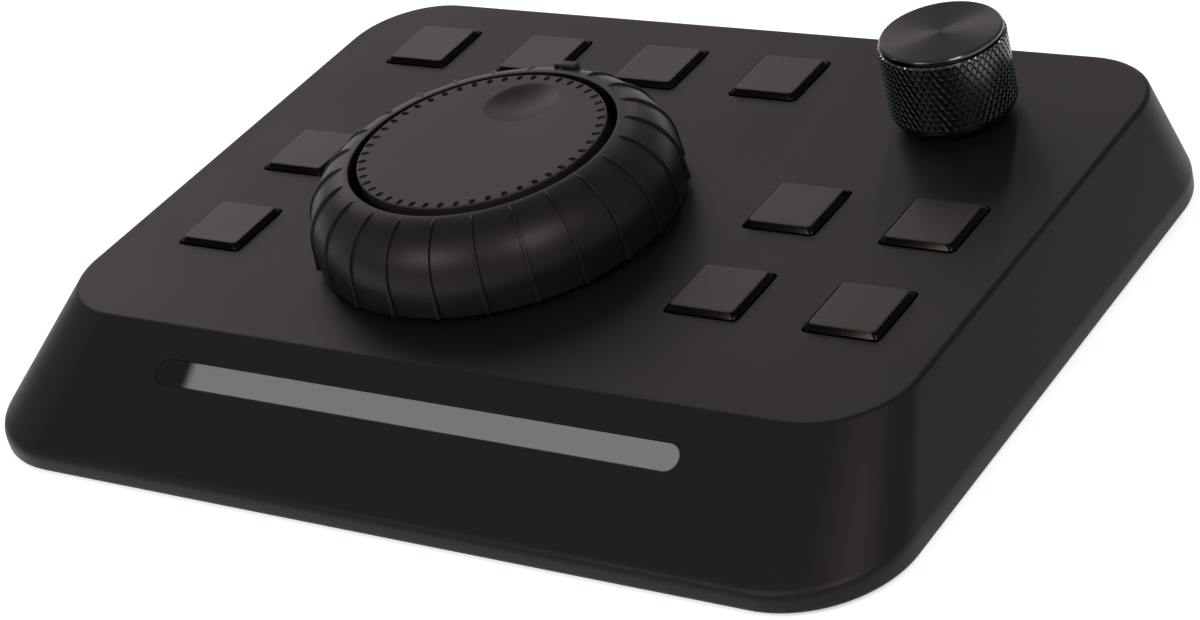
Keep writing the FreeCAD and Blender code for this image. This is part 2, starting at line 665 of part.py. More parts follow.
def shuttle_spring():
    """Flat-sided wire spring whose two legs hold the ring's peg in line with the fixed peg."""
    height = PANEL_TOP + SPRING_HEIGHT
    half = SPRING_WIRE / 2
    leg = PEG_RADIUS + PEG_CLEARANCE + half
    loop = tube(SPRING_RADIUS + half, SPRING_RADIUS - half, height - half, height + half)
    gap = block(2 * leg, 2 * SPRING_RADIUS, height - SPRING_WIRE, height + SPRING_WIRE, 0, SPRING_RADIUS)
    start = math.sqrt((SPRING_RADIUS - half) ** 2 - leg ** 2)
    legs = [block(SPRING_WIRE, SPRING_LEG_END - start, height - half, height + half, side * leg,
                  (start + SPRING_LEG_END) / 2) for side in (-1, 1)]
    spring = join([loop.cut(gap)] + legs)
    spring.translate(Vector(DIAL_X, DIAL_Y, 0))
    return spring


def dial_encoder():
    """Casing of the double-shaft encoder on the board, with its bush up through the panel."""
    body = cut_block(DIAL_BODY_SIZE, DIAL_BODY_SIZE, DIAL_BODY_CUT, BOARD_TOP, BODY_TOP, DIAL_X, DIAL_Y)
    top = PANEL_TOP + DIAL_BUSH_PROUD
    bush = cylinder(DIAL_BUSH_RADIUS, BODY_TOP, top, DIAL_X, DIAL_Y)
    sleeve_room = cylinder(SLEEVE_RADIUS + RUNNING_CLEARANCE, BOARD_TOP + 2 * SHAFT_BED - RUNNING_CLEARANCE,
                           top + MARGIN, DIAL_X, DIAL_Y)
    shaft_room = cylinder(JOG_SHAFT_RADIUS + RUNNING_CLEARANCE, BOARD_TOP + SHAFT_BED - RUNNING_CLEARANCE,
                          BODY_TOP, DIAL_X, DIAL_Y)
    return join([body, bush]).cut([sleeve_room, shaft_room])


def jog_shaft():
    """Inner shaft of the dial encoder, with a flat where the jog disc sits."""
    top = PANEL_TOP + DISC_TOP - DISC_THICKNESS
    shaft = cylinder(JOG_SHAFT_RADIUS, BOARD_TOP + SHAFT_BED, top, DIAL_X, DIAL_Y)
    flat = block(2 * JOG_SHAFT_RADIUS, SHAFT_FLAT, top - JOG_HUB_DEPTH - RUNNING_CLEARANCE, top + MARGIN,
                 DIAL_X, DIAL_Y + JOG_SHAFT_RADIUS - SHAFT_FLAT / 2)
    return shaft.cut(flat)


def dish(radius, depth, steps):
    """Shallow round dish to cut, open upwards, with its rim at height zero."""
    bowl = (radius ** 2 + depth ** 2) / (2 * depth)
    half_angle = math.asin(radius / bowl)
    turns = [half_angle * step / steps for step in range(steps + 1)]
    profile = [(bowl * math.sin(turn), bowl - depth - bowl * math.cos(turn)) for turn in turns]
    return turned(profile + [(radius, MARGIN), (0, MARGIN)])


def jog_disc():
    """Finger disc with a round dimple, a skirt, and a ribbed hub that is pushed onto the shaft."""
    top = PANEL_TOP + DISC_TOP
    under = top - DISC_THICKNESS
    skirt_foot = under - DISC_SKIRT_DEPTH
    disc = cylinder(DISC_RADIUS, skirt_foot, top, DIAL_X, DIAL_Y)
    disc = disc.makeChamfer(DISC_EDGE_EASE, edges_at(disc, top))
    room_radius = DISC_RADIUS - DISC_SKIRT_WALL
    room = cylinder(room_radius, skirt_foot - MARGIN, under, DIAL_X, DIAL_Y)
    dimple = dish(DIMPLE_RADIUS, DIMPLE_DEPTH, DIMPLE_STEPS)
    dimple.translate(Vector(DIAL_X, DIAL_Y + DIMPLE_OFFSET, top))
    hub = cylinder(JOG_HUB_RADIUS, under - JOG_HUB_DEPTH, under, DIAL_X, DIAL_Y)
    rib = Part.makeBox(room_radius + OVERLAP, JOG_RIB_WIDTH, JOG_RIB_DEPTH,
                       Vector(DIAL_X, DIAL_Y - JOG_RIB_WIDTH / 2, under - JOG_RIB_DEPTH))
    ribs = ring_of(rib, JOG_RIB_COUNT, Vector(DIAL_X, DIAL_Y, 0))
    bore = cylinder(JOG_SHAFT_RADIUS + RUNNING_CLEARANCE, skirt_foot - JOG_HUB_DEPTH, under, DIAL_X, DIAL_Y)
    key = block(2 * JOG_SHAFT_RADIUS, SHAFT_FLAT, skirt_foot - JOG_HUB_DEPTH, under, DIAL_X,
                DIAL_Y + JOG_SHAFT_RADIUS - SHAFT_FLAT / 2 + RUNNING_CLEARANCE)
    return join([disc.cut([room, dimple]), hub] + ribs).cut(bore.cut(key))


def knob():
    """Turned aluminium knob: spun face, lip, groove, gripping band and drawn-in foot, hollow inside."""
    foot = KNOB_GAP
    lip_foot = KNOB_TOP - KNOB_FACE_LIP
    groove_foot = lip_foot - KNOB_GROOVE_WIDTH
    lip_radius = KNOB_FACE_RADIUS + KNOB_FACE_CHAMFER
    band_top = foot + KNOB_BAND_HEIGHT
    profile = [(0, KNOB_TOP), (KNOB_FACE_RADIUS, KNOB_TOP), (lip_radius, KNOB_TOP - KNOB_FACE_CHAMFER),
               (lip_radius, lip_foot), (lip_radius - KNOB_GROOVE_DEPTH, lip_foot), (lip_radius, groove_foot),
               (KNOB_RADIUS, groove_foot - KNOB_SHOULDER), (KNOB_RADIUS, band_top),
               (KNOB_RADIUS - KNOB_BAND_INSET, band_top), (KNOB_FOOT_RADIUS, foot),
               (KNOB_CORE_RADIUS, foot), (KNOB_CORE_RADIUS, KNOB_TOP - KNOB_CEILING),
               (0, KNOB_TOP - KNOB_CEILING)]
    return turned(profile, KNOB_X, KNOB_Y, PANEL_TOP)


def shaft_flat(low, high, extra=0.0):
    """Part of a shaft that its flat takes away."""
    return block(2 * KNOB_SHAFT_RADIUS, KNOB_SHAFT_FLAT, low, high, KNOB_X,
                 KNOB_Y + KNOB_SHAFT_RADIUS + RUNNING_CLEARANCE - KNOB_SHAFT_FLAT / 2 + extra)


def knob_insert():
    """Plastic core of the knob, with a D-shaped bore for the shaft."""
    low = PANEL_TOP + KNOB_GAP + KNOB_RECESS_DEPTH
    high = PANEL_TOP + KNOB_TOP - KNOB_CEILING
    core = cylinder(KNOB_CORE_RADIUS, low, high, KNOB_X, KNOB_Y)
    bore = cylinder(KNOB_SHAFT_RADIUS + RUNNING_CLEARANCE, low - MARGIN, high - SHAFT_TOP_GAP / 2, KNOB_X,
                    KNOB_Y)
    return core.cut(bore.cut(shaft_flat(low - MARGIN, high, RUNNING_CLEARANCE)))


def encoder_shaft():
    """Knob encoder's shaft: square tail in the rotor, round in the bush, flatted in the knob."""
    top = PANEL_TOP + KNOB_TOP - KNOB_CEILING - SHAFT_TOP_GAP
    tail_foot = BOARD_TOP + ENCODER_BASE_THICKNESS + DOME_HEIGHT + KNOB_PUSH + DOME_GAP
    shaft = cylinder(KNOB_SHAFT_RADIUS, BODY_TOP - ENCODER_CEILING, top, KNOB_X, KNOB_Y)
    tail = block(DRIVE_SQUARE, DRIVE_SQUARE, tail_foot, BODY_TOP - ENCODER_CEILING,
                 KNOB_X, KNOB_Y)
    low = PANEL_TOP + KNOB_GAP + KNOB_RECESS_DEPTH
    return join([shaft, tail]).cut(shaft_flat(low - RUNNING_CLEARANCE, top + MARGIN))


def encoder_rotor():
    """Contact rotor that turns with the shaft and lets it slide when pressed."""
    top = BODY_TOP - ENCODER_CEILING - KNOB_PUSH - ROTOR_END_GAP
    disc = cylinder(ENCODER_CAVITY_RADIUS - ROTOR_CLEARANCE, top - ROTOR_HEIGHT, top, KNOB_X, KNOB_Y)
    hole = DRIVE_SQUARE + 2 * ROTOR_CLEARANCE
    return disc.cut(block(hole, hole, top - ROTOR_HEIGHT - MARGIN, top + MARGIN, KNOB_X, KNOB_Y))


def encoder_body():
    """Casing of the knob's encoder, open below for the rotor, with its bush up through the panel."""
    low = BOARD_TOP + ENCODER_BASE_THICKNESS
    body = cut_block(ENCODER_SIZE, ENCODER_SIZE, ENCODER_CUT, low, BODY_TOP, KNOB_X, KNOB_Y)
    top = PANEL_TOP + ENCODER_BUSH_PROUD
    bush = cylinder(ENCODER_BUSH_RADIUS, BODY_TOP, top, KNOB_X, KNOB_Y)
    cavity = cylinder(ENCODER_CAVITY_RADIUS, low - MARGIN, BODY_TOP - ENCODER_CEILING, KNOB_X, KNOB_Y)
    bore = cylinder(KNOB_SHAFT_RADIUS + RUNNING_CLEARANCE, low, top + MARGIN, KNOB_X, KNOB_Y)
    return join([body, bush]).cut([cavity, bore])


def encoder_base():
    """Base of the knob's encoder with the snap dome that the shaft presses."""
    low = BOARD_TOP + ENCODER_BASE_THICKNESS
    plate = block(ENCODER_SIZE, ENCODER_SIZE, BOARD_TOP, low, KNOB_X, KNOB_Y)
    return join([plate, cylinder(DOME_RADIUS, low, low + DOME_HEIGHT, KNOB_X, KNOB_Y)])


def light_bar():
    """Frosted diffuser, flush in the front slope, with a flange and skirt behind the wall."""
    length = BAR_LENGTH + 2 * BAR_FLANGE
    width = BAR_WIDTH + 2 * BAR_FLANGE
    lens = slot_block(BAR_LENGTH, BAR_WIDTH, BAR_BACK, 0)
    flange = block(length, width, BAR_BACK - BAR_SKIRT_DEPTH, -WALL - BAR_SEAT_GAP)
    room = block(length - 2 * BAR_SKIRT_WALL, width - 2 * BAR_SKIRT_WALL,
                 BAR_BACK - BAR_SKIRT_DEPTH - MARGIN, BAR_BACK)
    return on_front_slope(lens.fuse(flange).cut(room).removeSplitter())


def light_board():
    """Narrow circuit board that closes the back of the diffuser's skirt."""
    top = BAR_BACK - BAR_SKIRT_DEPTH
    return on_front_slope(block(BAR_LENGTH + 2 * BAR_FLANGE, BAR_WIDTH + 2 * BAR_FLANGE,
                                top - LIGHT_BOARD_THICKNESS, top))


def light_leds():
    """Row of lamps on the narrow board."""
    top = BAR_BACK - BAR_SKIRT_DEPTH
    pitch = BAR_LENGTH / LED_COUNT
    places = [(index - (LED_COUNT - 1) / 2) * pitch for index in range(LED_COUNT)]
    return group([on_front_slope(block(LED_LENGTH, LED_WIDTH, top, top + LED_HEIGHT, x)) for x in places])


def light_flex():
    """Flat ribbon from the back of the narrow board over to the circuit board's front edge."""
    back = BAR_BACK - BAR_SKIRT_DEPTH - LIGHT_BOARD_THICKNESS - FLEX_THICKNESS / 2
    leave_at = BAR_WIDTH / 2 + BAR_FLANGE + FLEX_LOOP
    start, leave = [on_front_slope(Part.Vertex(0, along, back)).Point for along in (0, leave_at)]
    level = BOARD_TOP + FLEX_THICKNESS / 2
    path = [start, leave, Vector(0, BOARD_FRONT_Y, level), Vector(0, BOARD_FRONT_Y + FLEX_LAP, level)]
    across = (leave - start).normalize().cross(SIDEWAYS) * (FLEX_THICKNESS / 2)
    side = SIDEWAYS * (FLEX_WIDTH / 2)
    corners = [start + side + across, start - side + across, start - side - across, start + side - across]
    route = Part.Wire([line(near, far) for near, far in zip(path, path[1:])])
    return route.makePipeShell([Part.makePolygon(corners + corners[:1])], True, False, 1)


def socket_solid(grow, length):
    """Rounded prism of the rear socket lying along Y with its mouth at the back."""
    solid = slot_block(SOCKET_WIDTH + 2 * grow, SOCKET_HEIGHT + 2 * grow, 0, length)
    solid.rotate(Vector(0, 0, 0), SIDEWAYS, 90)
    mouth = BASE_DEPTH / 2 - BACK_SLOPE_RUN - SOCKET_INSET
    solid.translate(Vector(SOCKET_X, mouth, BOARD_TOP + SOCKET_HEIGHT / 2))
    return solid


def usb_shell():
    """Metal shell of the rear socket, open to the back."""
    hollow = socket_solid(-SOCKET_WALL, SOCKET_LENGTH - SOCKET_BACK_WALL + MARGIN)
    hollow.translate(Vector(0, MARGIN, 0))
    return socket_solid(0, SOCKET_LENGTH).cut(hollow)


def usb_tongue():
    """Contact tongue in the middle of the rear socket."""
    mouth = BASE_DEPTH / 2 - BACK_SLOPE_RUN - SOCKET_INSET
    inner = mouth - SOCKET_LENGTH + SOCKET_BACK_WALL
    length = SOCKET_LENGTH - SOCKET_BACK_WALL - TONGUE_RECESS
    height = BOARD_TOP + SOCKET_HEIGHT / 2
    return Part.makeBox(TONGUE_WIDTH, length, TONGUE_THICKNESS,
                        Vector(SOCKET_X - TONGUE_WIDTH / 2, inner, height - TONGUE_THICKNESS / 2))


def build():
    """Every node's name with its shape."""
    nodes = {
        "top_shell": top_shell(),
        "base_plate": base_plate(),
        "rubber_feet": rubber_feet(),
        "case_screws": case_screws(),
        "main_board": main_board(),
        "board_chips": board_chips(),
        "switch_bodies": switch_bodies(),
        "usb_shell": usb_shell(),
        "usb_tongue": usb_tongue(),
        "light_bar": light_bar(),
        "light_board": light_board(),
        "light_leds": light_leds(),
        "light_flex": light_flex(),
        "dial_encoder": dial_encoder(),
        "shuttle_sleeve": shuttle_sleeve(),
        "shuttle_ring": shuttle_ring(),
        "shuttle_spring": shuttle_spring(),
        "jog_shaft": jog_shaft(),
        "jog_disc": jog_disc(),
        "encoder_base": encoder_base(),
        "encoder_body": encoder_body(),
        "encoder_rotor": encoder_rotor(),
        "encoder_shaft": encoder_shaft(),
        "knob_insert": knob_insert(),
        "knob": knob(),
    }
    for number, (x, y) in enumerate(KEY_PLACES, start=1):
        nodes[f"keycap_{number}"] = keycap(x, y)
        nodes[f"switch_plunger_{number}"] = switch_plunger(x, y)
    return nodes


os.makedirs("parts", exist_ok=True)
for name, shape in build().items():
    shape.exportStep(f"parts/{name}.step")
    print(f"{name}: solids {len(shape.Solids)}, volume {shape.Volume:.1f}, valid {shape.isValid()}")
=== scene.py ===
"""Looks of the desk macro keypad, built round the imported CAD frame.

Sizes are millimetres unless a name says otherwise. Axes are the frame's: +X right, +Y back,
+Z up, with the desk at height 0.
"""

import logging
import math
from collections.abc import Callable, Mapping, Sequence
from dataclasses import dataclass
from enum import Enum
from functools import partial
from typing import TypeAlias

import bmesh
import bpy
import numpy as np
from mathutils import Matrix, Vector
from mathutils.geometry import delaunay_2d_cdt

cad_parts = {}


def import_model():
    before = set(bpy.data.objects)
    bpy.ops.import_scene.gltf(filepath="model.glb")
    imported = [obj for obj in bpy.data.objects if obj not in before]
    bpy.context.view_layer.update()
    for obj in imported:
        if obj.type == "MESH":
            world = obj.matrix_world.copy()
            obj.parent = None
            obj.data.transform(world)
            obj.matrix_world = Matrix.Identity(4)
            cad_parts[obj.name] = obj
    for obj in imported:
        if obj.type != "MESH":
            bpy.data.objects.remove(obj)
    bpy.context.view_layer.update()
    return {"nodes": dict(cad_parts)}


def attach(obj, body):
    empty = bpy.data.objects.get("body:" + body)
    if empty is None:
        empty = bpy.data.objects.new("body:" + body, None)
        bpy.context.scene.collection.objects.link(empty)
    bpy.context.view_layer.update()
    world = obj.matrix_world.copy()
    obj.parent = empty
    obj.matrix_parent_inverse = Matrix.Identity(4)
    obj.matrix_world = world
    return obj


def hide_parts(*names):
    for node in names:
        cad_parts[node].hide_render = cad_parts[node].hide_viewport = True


LOG = logging.getLogger("keypad")
MM = 0.001
Array = np.ndarray
Pair = tuple[float, float]
Triple = tuple[float, float, float]
Inputs: TypeAlias = "Mapping[int | str, Signal | float | tuple[float, ...]]"
CORNERS = np.array([[1, 1], [-1, 1], [-1, -1], [1, -1]])

# Places on the panel, the same as in the CAD frame
KEY_PITCH = 25.4
ROW_PITCH = 25.1
FIRST_COLUMN = -62.3
BACK_ROW = 48.9
MIDDLE_ROW = 10.1
PANEL_TOP = 18.9
KEY_CENTRES = [(FIRST_COLUMN + column * KEY_PITCH, BACK_ROW) for column in range(4)]
KEY_CENTRES += [(FIRST_COLUMN + column * KEY_PITCH, row)
                for row in (MIDDLE_ROW, MIDDLE_ROW - ROW_PITCH) for column in (0, 4, 5)]
DIAL_CENTRE = (FIRST_COLUMN + 2 * KEY_PITCH, MIDDLE_ROW - ROW_PITCH / 2)
KNOB_CENTRE = (FIRST_COLUMN + 4.5 * KEY_PITCH, 42.8)
SCREW_CENTRES = [(side * x, y) for side in (-1, 1) for x, y in ((66.0, -35.0), (49.6, 56.0))]


# ---- Surfaces ----


def unit(vectors: Array) -> Array:
    """Vectors scaled to length one along their last axis."""
    return vectors / np.linalg.norm(vectors, axis=-1, keepdims=True)


def spokes(turn: Array) -> Array:
    """Unit vectors (cos t, sin t) at angles in radians."""
    return np.stack([np.cos(turn), np.sin(turn)], -1)


def quarter_turns(steps: int) -> Array:
    """Four rows of angles in radians, one row for each quarter of a full turn."""
    return np.radians(np.linspace(0, 90, steps + 1)[None, :] + 90 * np.arange(4)[:, None])


def polar(reach: Array | float, turn: Array, height: Array | float) -> Array:
    """Points (r cos t, r sin t, z) of distances, angles and heights that are broadcast together."""
    return np.stack(np.broadcast_arrays(reach * np.cos(turn), reach * np.sin(turn), height), -1)


def rounded_loop(width: float, depth: float, radius: float, steps: int = 6, centre: Pair = (0.0, 0.0)) -> Array:
    """Rectangle with round corners, counter-clockwise.

    Args:
        width: Size along X.
        depth: Size along Y.
        radius: Corner radius.
        steps: Straight steps in each corner.
        centre: Middle of the rectangle.

    Returns:
        Points as rows of x and y.
    """
    middles = CORNERS * (np.array([width, depth]) / 2 - radius)
    loop = middles[:, None, :] + radius * spokes(quarter_turns(steps))
    return loop.reshape(-1, 2) + np.array(centre)


def scaled(colour: Triple, factor: float) -> Triple:
    """Colour made lighter or darker by a factor."""
    return tuple(factor * part for part in colour)


def link(name: str, data: bpy.types.ID) -> bpy.types.Object:
    """New object in the scene.

    Args:
        name: Its name.
        data: Its mesh, camera or light.

    Returns:
        The object.
    """
    made = bpy.data.objects.new(name, data)
    bpy.context.scene.collection.objects.link(made)
    return made


def round_loop(radius: float, steps: int, centre: Pair = (0.0, 0.0)) -> Array:
    """Circle round a centre as counter-clockwise rows of x and y."""
    return radius * spokes(np.arange(steps) * 2 * np.pi / steps) + np.array(centre)


def slot_loop(length: float, width: float, grow: float) -> Array:
    """Loop with half round ends, widened all round by a measure."""
    return rounded_loop(length + 2 * grow, width + 2 * grow, width / 2 + grow - 1e-4, 12)


def at_height(loop: Array, height: float) -> Array:
    """Flat loop lifted to a height, as rows of x, y and z."""
    return np.concatenate([loop, np.full((len(loop), 1), height)], 1)


def turned(profile: Sequence[Pair], columns: int, centre: Pair = (0.0, 0.0)) -> Array:
    """Surface of revolution.

    Args:
        profile: Radius and height pairs, up the outside, in over the top, down the inside.
        columns: Steps round the axis.
        centre: Where the axis stands.

    Returns:
        Grid of points, profile by turn by three.
    """
    reach, height = np.array(profile, float).T[..., None]
    return polar(reach, np.arange(columns) * 2 * np.pi / columns, height) + np.array([*centre, 0.0])


def fillet(corner: Array, back: Array, ahead: Array, radius: float, steps: int,
           room: Array | float = math.inf) -> Array:
    """Circular arcs that touch both legs of each corner.

    Between tangent points A and B the arc round a corner E is the rational quadratic curve
    ((1-t)^2 A + 2 t (1-t) w E + t^2 B) / ((1-t)^2 + 2 t (1-t) w + t^2), w = cos of half the turn.

    Args:
        corner: Corner points.
        back: Unit vectors from the corners along the legs that come in.
        ahead: Unit vectors from the corners along the legs that go out.
        radius: Radius of each arc.
        steps: Straight steps in each arc.
        room: How much of a leg an arc may take.

    Returns:
        Points, step by corner by components.
    """
    half = np.arccos(np.clip(-(back * ahead).sum(-1), -1, 1)) / 2
    reach = np.minimum(radius * np.tan(half), room)[:, None]
    share = np.linspace(0, 1, steps + 1)[:, None, None]
    first, middle, last = (1 - share) ** 2, 2 * share * (1 - share) * np.cos(half)[:, None], share ** 2
    line = first * (corner + back * reach) + middle * corner + last * (corner + ahead * reach)
    return line / (first + middle + last)


def eased(profile: Sequence[Pair], radius: float, steps: int = 3) -> list[Pair]:
    """Profile whose inner corners are rounded.

    Args:
        profile: Points of the line; its two ends stay.
        radius: Radius of each arc, which takes at most a third of the shorter leg.
        steps: Straight steps in each arc.

    Returns:
        Points of the eased line.
    """
    points = np.array(profile, float)
    back, ahead = points[:-2] - points[1:-1], points[2:] - points[1:-1]
    room = np.minimum(np.linalg.norm(back, axis=1), np.linalg.norm(ahead, axis=1)) / 3
    arcs = fillet(points[1:-1], unit(back), unit(ahead), radius, steps, room)
    middle = arcs.transpose(1, 0, 2).reshape(-1, 2)
    return [tuple(point) for point in np.concatenate([points[:1], middle, points[-1:]])]


def inside(points: Array, loop: Array) -> Array:
    """Which points lie inside a closed loop, by counting the sides that a ray along X crosses.

    Args:
        points: Rows of x and y.
        loop: Rows of x and y.

    Returns:
        One truth value for each point.
    """
    near, far = loop, np.roll(loop, -1, 0)
    x, y = points[:, :1], points[:, 1:]
    rise = far[:, 1] - near[:, 1]
    rise = np.where(rise == 0, 1e-12, rise)
    cross = near[:, 0] + (y - near[:, 1]) * (far[:, 0] - near[:, 0]) / rise
    spans = (near[:, 1] > y) != (far[:, 1] > y)
    return (spans & (x < cross)).sum(1) % 2 == 1


class Skin:
    """Points and faces of one piece, gathered patch by patch and welded at the end."""

    def __init__(self, origin: Sequence[float] = (0.0, 0.0, 0.0)) -> None:
        """Start with nothing.

        Args:
            origin: Added to every point.
        """
        self.origin = np.array(origin)
        self.points: list[Array] = []
        self.faces: list[list[int]] = []
        self.count = 0

    def add(self, points: Array, faces: Array) -> None:
        """Add loose faces.

        Args:
            points: Rows of x, y and z.
            faces: Rows of point numbers that start at zero.
        """
        self.points.append(points.reshape(-1, 3) + self.origin)
        self.faces += (np.asarray(faces) + self.count).tolist()
        self.count += len(self.points[-1])

    def grid(self, points: Array, skip: Array | None = None) -> None:
        """Add a surface given as a grid of points whose last column joins the first.

        Args:
            points: Rows by columns by three.
            skip: Truth values by row and column of cells to leave open.
        """
        index = np.arange(points.shape[0] * points.shape[1]).reshape(points.shape[:2])
        index = np.concatenate([index, index[:, :1]], 1)
        cells = np.stack([index[:-1, :-1], index[:-1, 1:], index[1:, 1:], index[1:, :-1]], -1)
        self.add(points, cells[~skip] if skip is not None else cells.reshape(-1, 4))

    def flat(self, outer: Array, holes: Sequence[Array], place: Callable[[Array], Array]) -> None:
        """Add a flat face with holes, as a constrained triangulation of its loops.

        Args:
            outer: Outer loop, rows of two coordinates in the face's own plane.
            holes: Loops that stay open.
            place: Turns rows of two coordinates into rows of x, y and z.
        """
        loops = [outer, *holes]
        starts = np.cumsum([0] + [len(loop) for loop in loops])
        sides = [np.stack([np.arange(a, b), np.roll(np.arange(a, b), -1)], 1) for a, b in zip(starts, starts[1:])]
        corners = [Vector(point) for point in np.concatenate(loops).tolist()]
        found, _, faces, *_ = delaunay_2d_cdt(corners, np.concatenate(sides).tolist(), [], 0, 1e-6)
        points, triangles = np.array([point[:] for point in found]), np.array(faces)
        middles = points[triangles].mean(1)
        keep = inside(middles, outer)
        for hole in holes:
            keep &= ~inside(middles, hole)
        self.add(place(points), triangles[keep])

    def plate(self, height: float, outer: Array, *holes: Array) -> None:
        """Add a level face at a height, with holes; only x and y of the loops are used."""
        self.flat(outer[:, :2], [hole[:, :2] for hole in holes], partial(at_height, height=height))

    def cap(self, loop: Array) -> None:
        """Add one flat face on a loop of points."""
        self.add(loop, np.arange(len(loop))[None, :])

    def tube(self, rows: Sequence[Array]) -> None:
        """Add a surface through loops, closed at both ends.

        Args:
            rows: Loops with the same number of points.
        """
        self.grid(np.stack(rows))
        self.cap(rows[0][::-1])
        self.cap(rows[-1])

    def build(self, name: str, crisp: float = 40.0) -> bpy.types.Object:
        """Make the welded mesh object, faces outwards, with edges above an angle kept crisp.

        Args:
            name: Name of the piece.
            crisp: Angle in degrees above which an edge isn't smoothed.

        Returns:
            The object, standing at the origin.
        """
        mesh = bpy.data.meshes.new(name)
        mesh.from_pydata((np.concatenate(self.points) * MM).tolist(), [], self.faces)
        work = bmesh.new()
        work.from_mesh(mesh)
        bmesh.ops.remove_doubles(work, verts=work.verts, dist=2e-6)
        bmesh.ops.recalc_face_normals(work, faces=work.faces)
        work.to_mesh(mesh)
        work.free()
        mesh.shade_smooth()
        mesh.set_sharp_from_angle(angle=math.radians(crisp))
        return link(name, mesh)


# ---- Finishes ----


class Signal:
    """One shader socket; arithmetic on it adds Math nodes."""

    def __init__(self, paint: "Paint", socket: bpy.types.NodeSocket) -> None:
        """Wrap an output of one of a material's nodes."""
        self.paint = paint
        self.socket = socket

    def math(self, operation: str, *others: "Signal | float") -> "Signal":
        """Math node on this value and up to two others.

        Args:
            operation: The node's operation.
            others: Values or numbers for the next inputs.

        Returns:
            The result.
        """
        return self.paint.node("ShaderNodeMath", {"operation": operation}, dict(enumerate([self, *others])))

    def __add__(self, other: "Signal | float") -> "Signal":
        """Sum."""
        return self.math("ADD", other)

    def __sub__(self, other: "Signal | float") -> "Signal":
        """Difference."""
        return self.math("SUBTRACT", other)

    def __rsub__(self, other: float) -> "Signal":
        """Number less this value."""
        return self * -1.0 + other

    def __mul__(self, other: "Signal | float") -> "Signal":
        """Product."""
        return self.math("MULTIPLY", other)

    __radd__ = __add__
    __rmul__ = __mul__

    def between(self, low: float, high: float) -> "Signal":
        """Smooth step from 0 at low to 1 at high."""
        return self.paint.node("ShaderNodeMapRange", {"interpolation_type": "SMOOTHSTEP"},
                               {"Value": self, "From Min": low, "From Max": high})


class Paint:
    """Material with a Principled shader and short ways to add nodes to it."""

    def __init__(self, name: str, **constants: float | tuple[float, ...]) -> None:
        """Make the material.

        Args:
            name: Name of the material.
            constants: Shader sockets that are the same all over, with underscores for spaces.
        """
        self.material = bpy.data.materials.new(name)
        self.material.use_nodes = True
        self.tree = self.material.node_tree
        self.shader = next(n for n in self.tree.nodes if n.type == "BSDF_PRINCIPLED")
        self.feed({key.replace("_", " "): value for key, value in constants.items()})

    def feed(self, values: Inputs, node: bpy.types.Node | None = None) -> None:
        """Set or link inputs of a node.

        Args:
            values: Input names or numbers with what goes in.
            node: The node, or none for the Principled shader.
        """
        for key, value in values.items():
            socket = (node or self.shader).inputs[key]
            if isinstance(value, Signal):
                self.tree.links.new(value.socket, socket)
            else:
                socket.default_value = value

    def node(self, kind: str, settings: Mapping[str, object] | None = None, values: "Inputs | None" = None,
             output: int | str = 0) -> Signal:
        """Add any node.

        Args:
            kind: The node's type.
            settings: Its settings, set first.
            values: Its inputs.
            output: Which output is wanted.

        Returns:
            The wanted output.
        """
        made = self.tree.nodes.new(kind)
        for key, value in (settings or {}).items():
            setattr(made, key, value)
        self.feed(values or {}, made)
        return Signal(self, made.outputs[output])

    def place(self) -> Signal:
        """Position in the frame, in metres."""
        return self.node("ShaderNodeTexCoord", output="Object")

    def axes(self) -> tuple[Signal, Signal, Signal]:
        """X, Y and Z of the position, in millimetres."""
        split = self.node("ShaderNodeSeparateXYZ", values={0: self.place()}).socket.node
        return tuple(Signal(self, output) * (1 / MM) for output in split.outputs)

    def noise(self, grain: float, detail: float = 2.0, stretch: Triple = (1, 1, 1)) -> Signal:
        """Noise from 0 to 1 with lumps about a grain across, made finer along an axis by its stretch."""
        scaled = self.node("ShaderNodeVectorMath", {"operation": "MULTIPLY"}, {0: self.place(), 1: stretch})
        return self.node("ShaderNodeTexNoise", None, {"Vector": scaled, "Scale": 1 / (grain * MM), "Detail": detail})

    def blend(self, share: Signal, low: tuple[float, ...], high: tuple[float, ...]) -> Signal:
        """Colour between two by a share, as linear red, green and blue."""
        return self.node("ShaderNodeMix", {"data_type": "RGBA"}, {0: share, 6: (*low, 1.0), 7: (*high, 1.0)}, 2)

    def finish(self, colour: Signal, roughness: Signal, height: Signal, depth: float) -> bpy.types.Material:
        """Feed the shader what varies over the surface.

        Args:
            colour: Base colour.
            roughness: Roughness.
            height: Height of the bumps, from 0 to 1.
            depth: What a height of 1 measures.

        Returns:
            The finished material.
        """
        bump = self.node("ShaderNodeBump", None, {"Height": height, "Distance": depth * MM})
        self.feed({"Base Color": colour, "Roughness": roughness, "Normal": bump})
        return self.material


@dataclass(frozen=True)
class Plastic:
    """Moulded plastic with a fine spark-eroded grain."""

    colour: Triple
    roughness: float
    grain: float = 0.35
    depth: float = 0.006
    specular: float = 0.22
    tint: Triple = (1.0, 0.96, 0.94)
    polished_below: float = -1.0
    polish: float = 0.16

    def make(self, name: str) -> bpy.types.Material:
        """Build the material: grain as bump, slow patches of wear, and dark glossy sides below a height.

        Args:
            name: Its name.

        Returns:
            The material.
        """
        paint = Paint(name, Specular_IOR_Level=self.specular, Specular_Tint=(*self.tint, 1.0))
        patches = paint.noise(22.0, 3.0)
        fine = paint.noise(self.grain, 3.0)
        top = paint.axes()[2].between(self.polished_below - 0.05, self.polished_below)
        rough = self.roughness + (patches - 0.5) * 0.06 + (fine - 0.5) * 0.05
        paint.feed({"Metallic": 1 - top})
        return paint.finish(paint.blend(patches, scaled(self.colour, 0.9), scaled(self.colour, 1.12)),
                            self.polish + (rough - self.polish) * top, fine, self.depth)


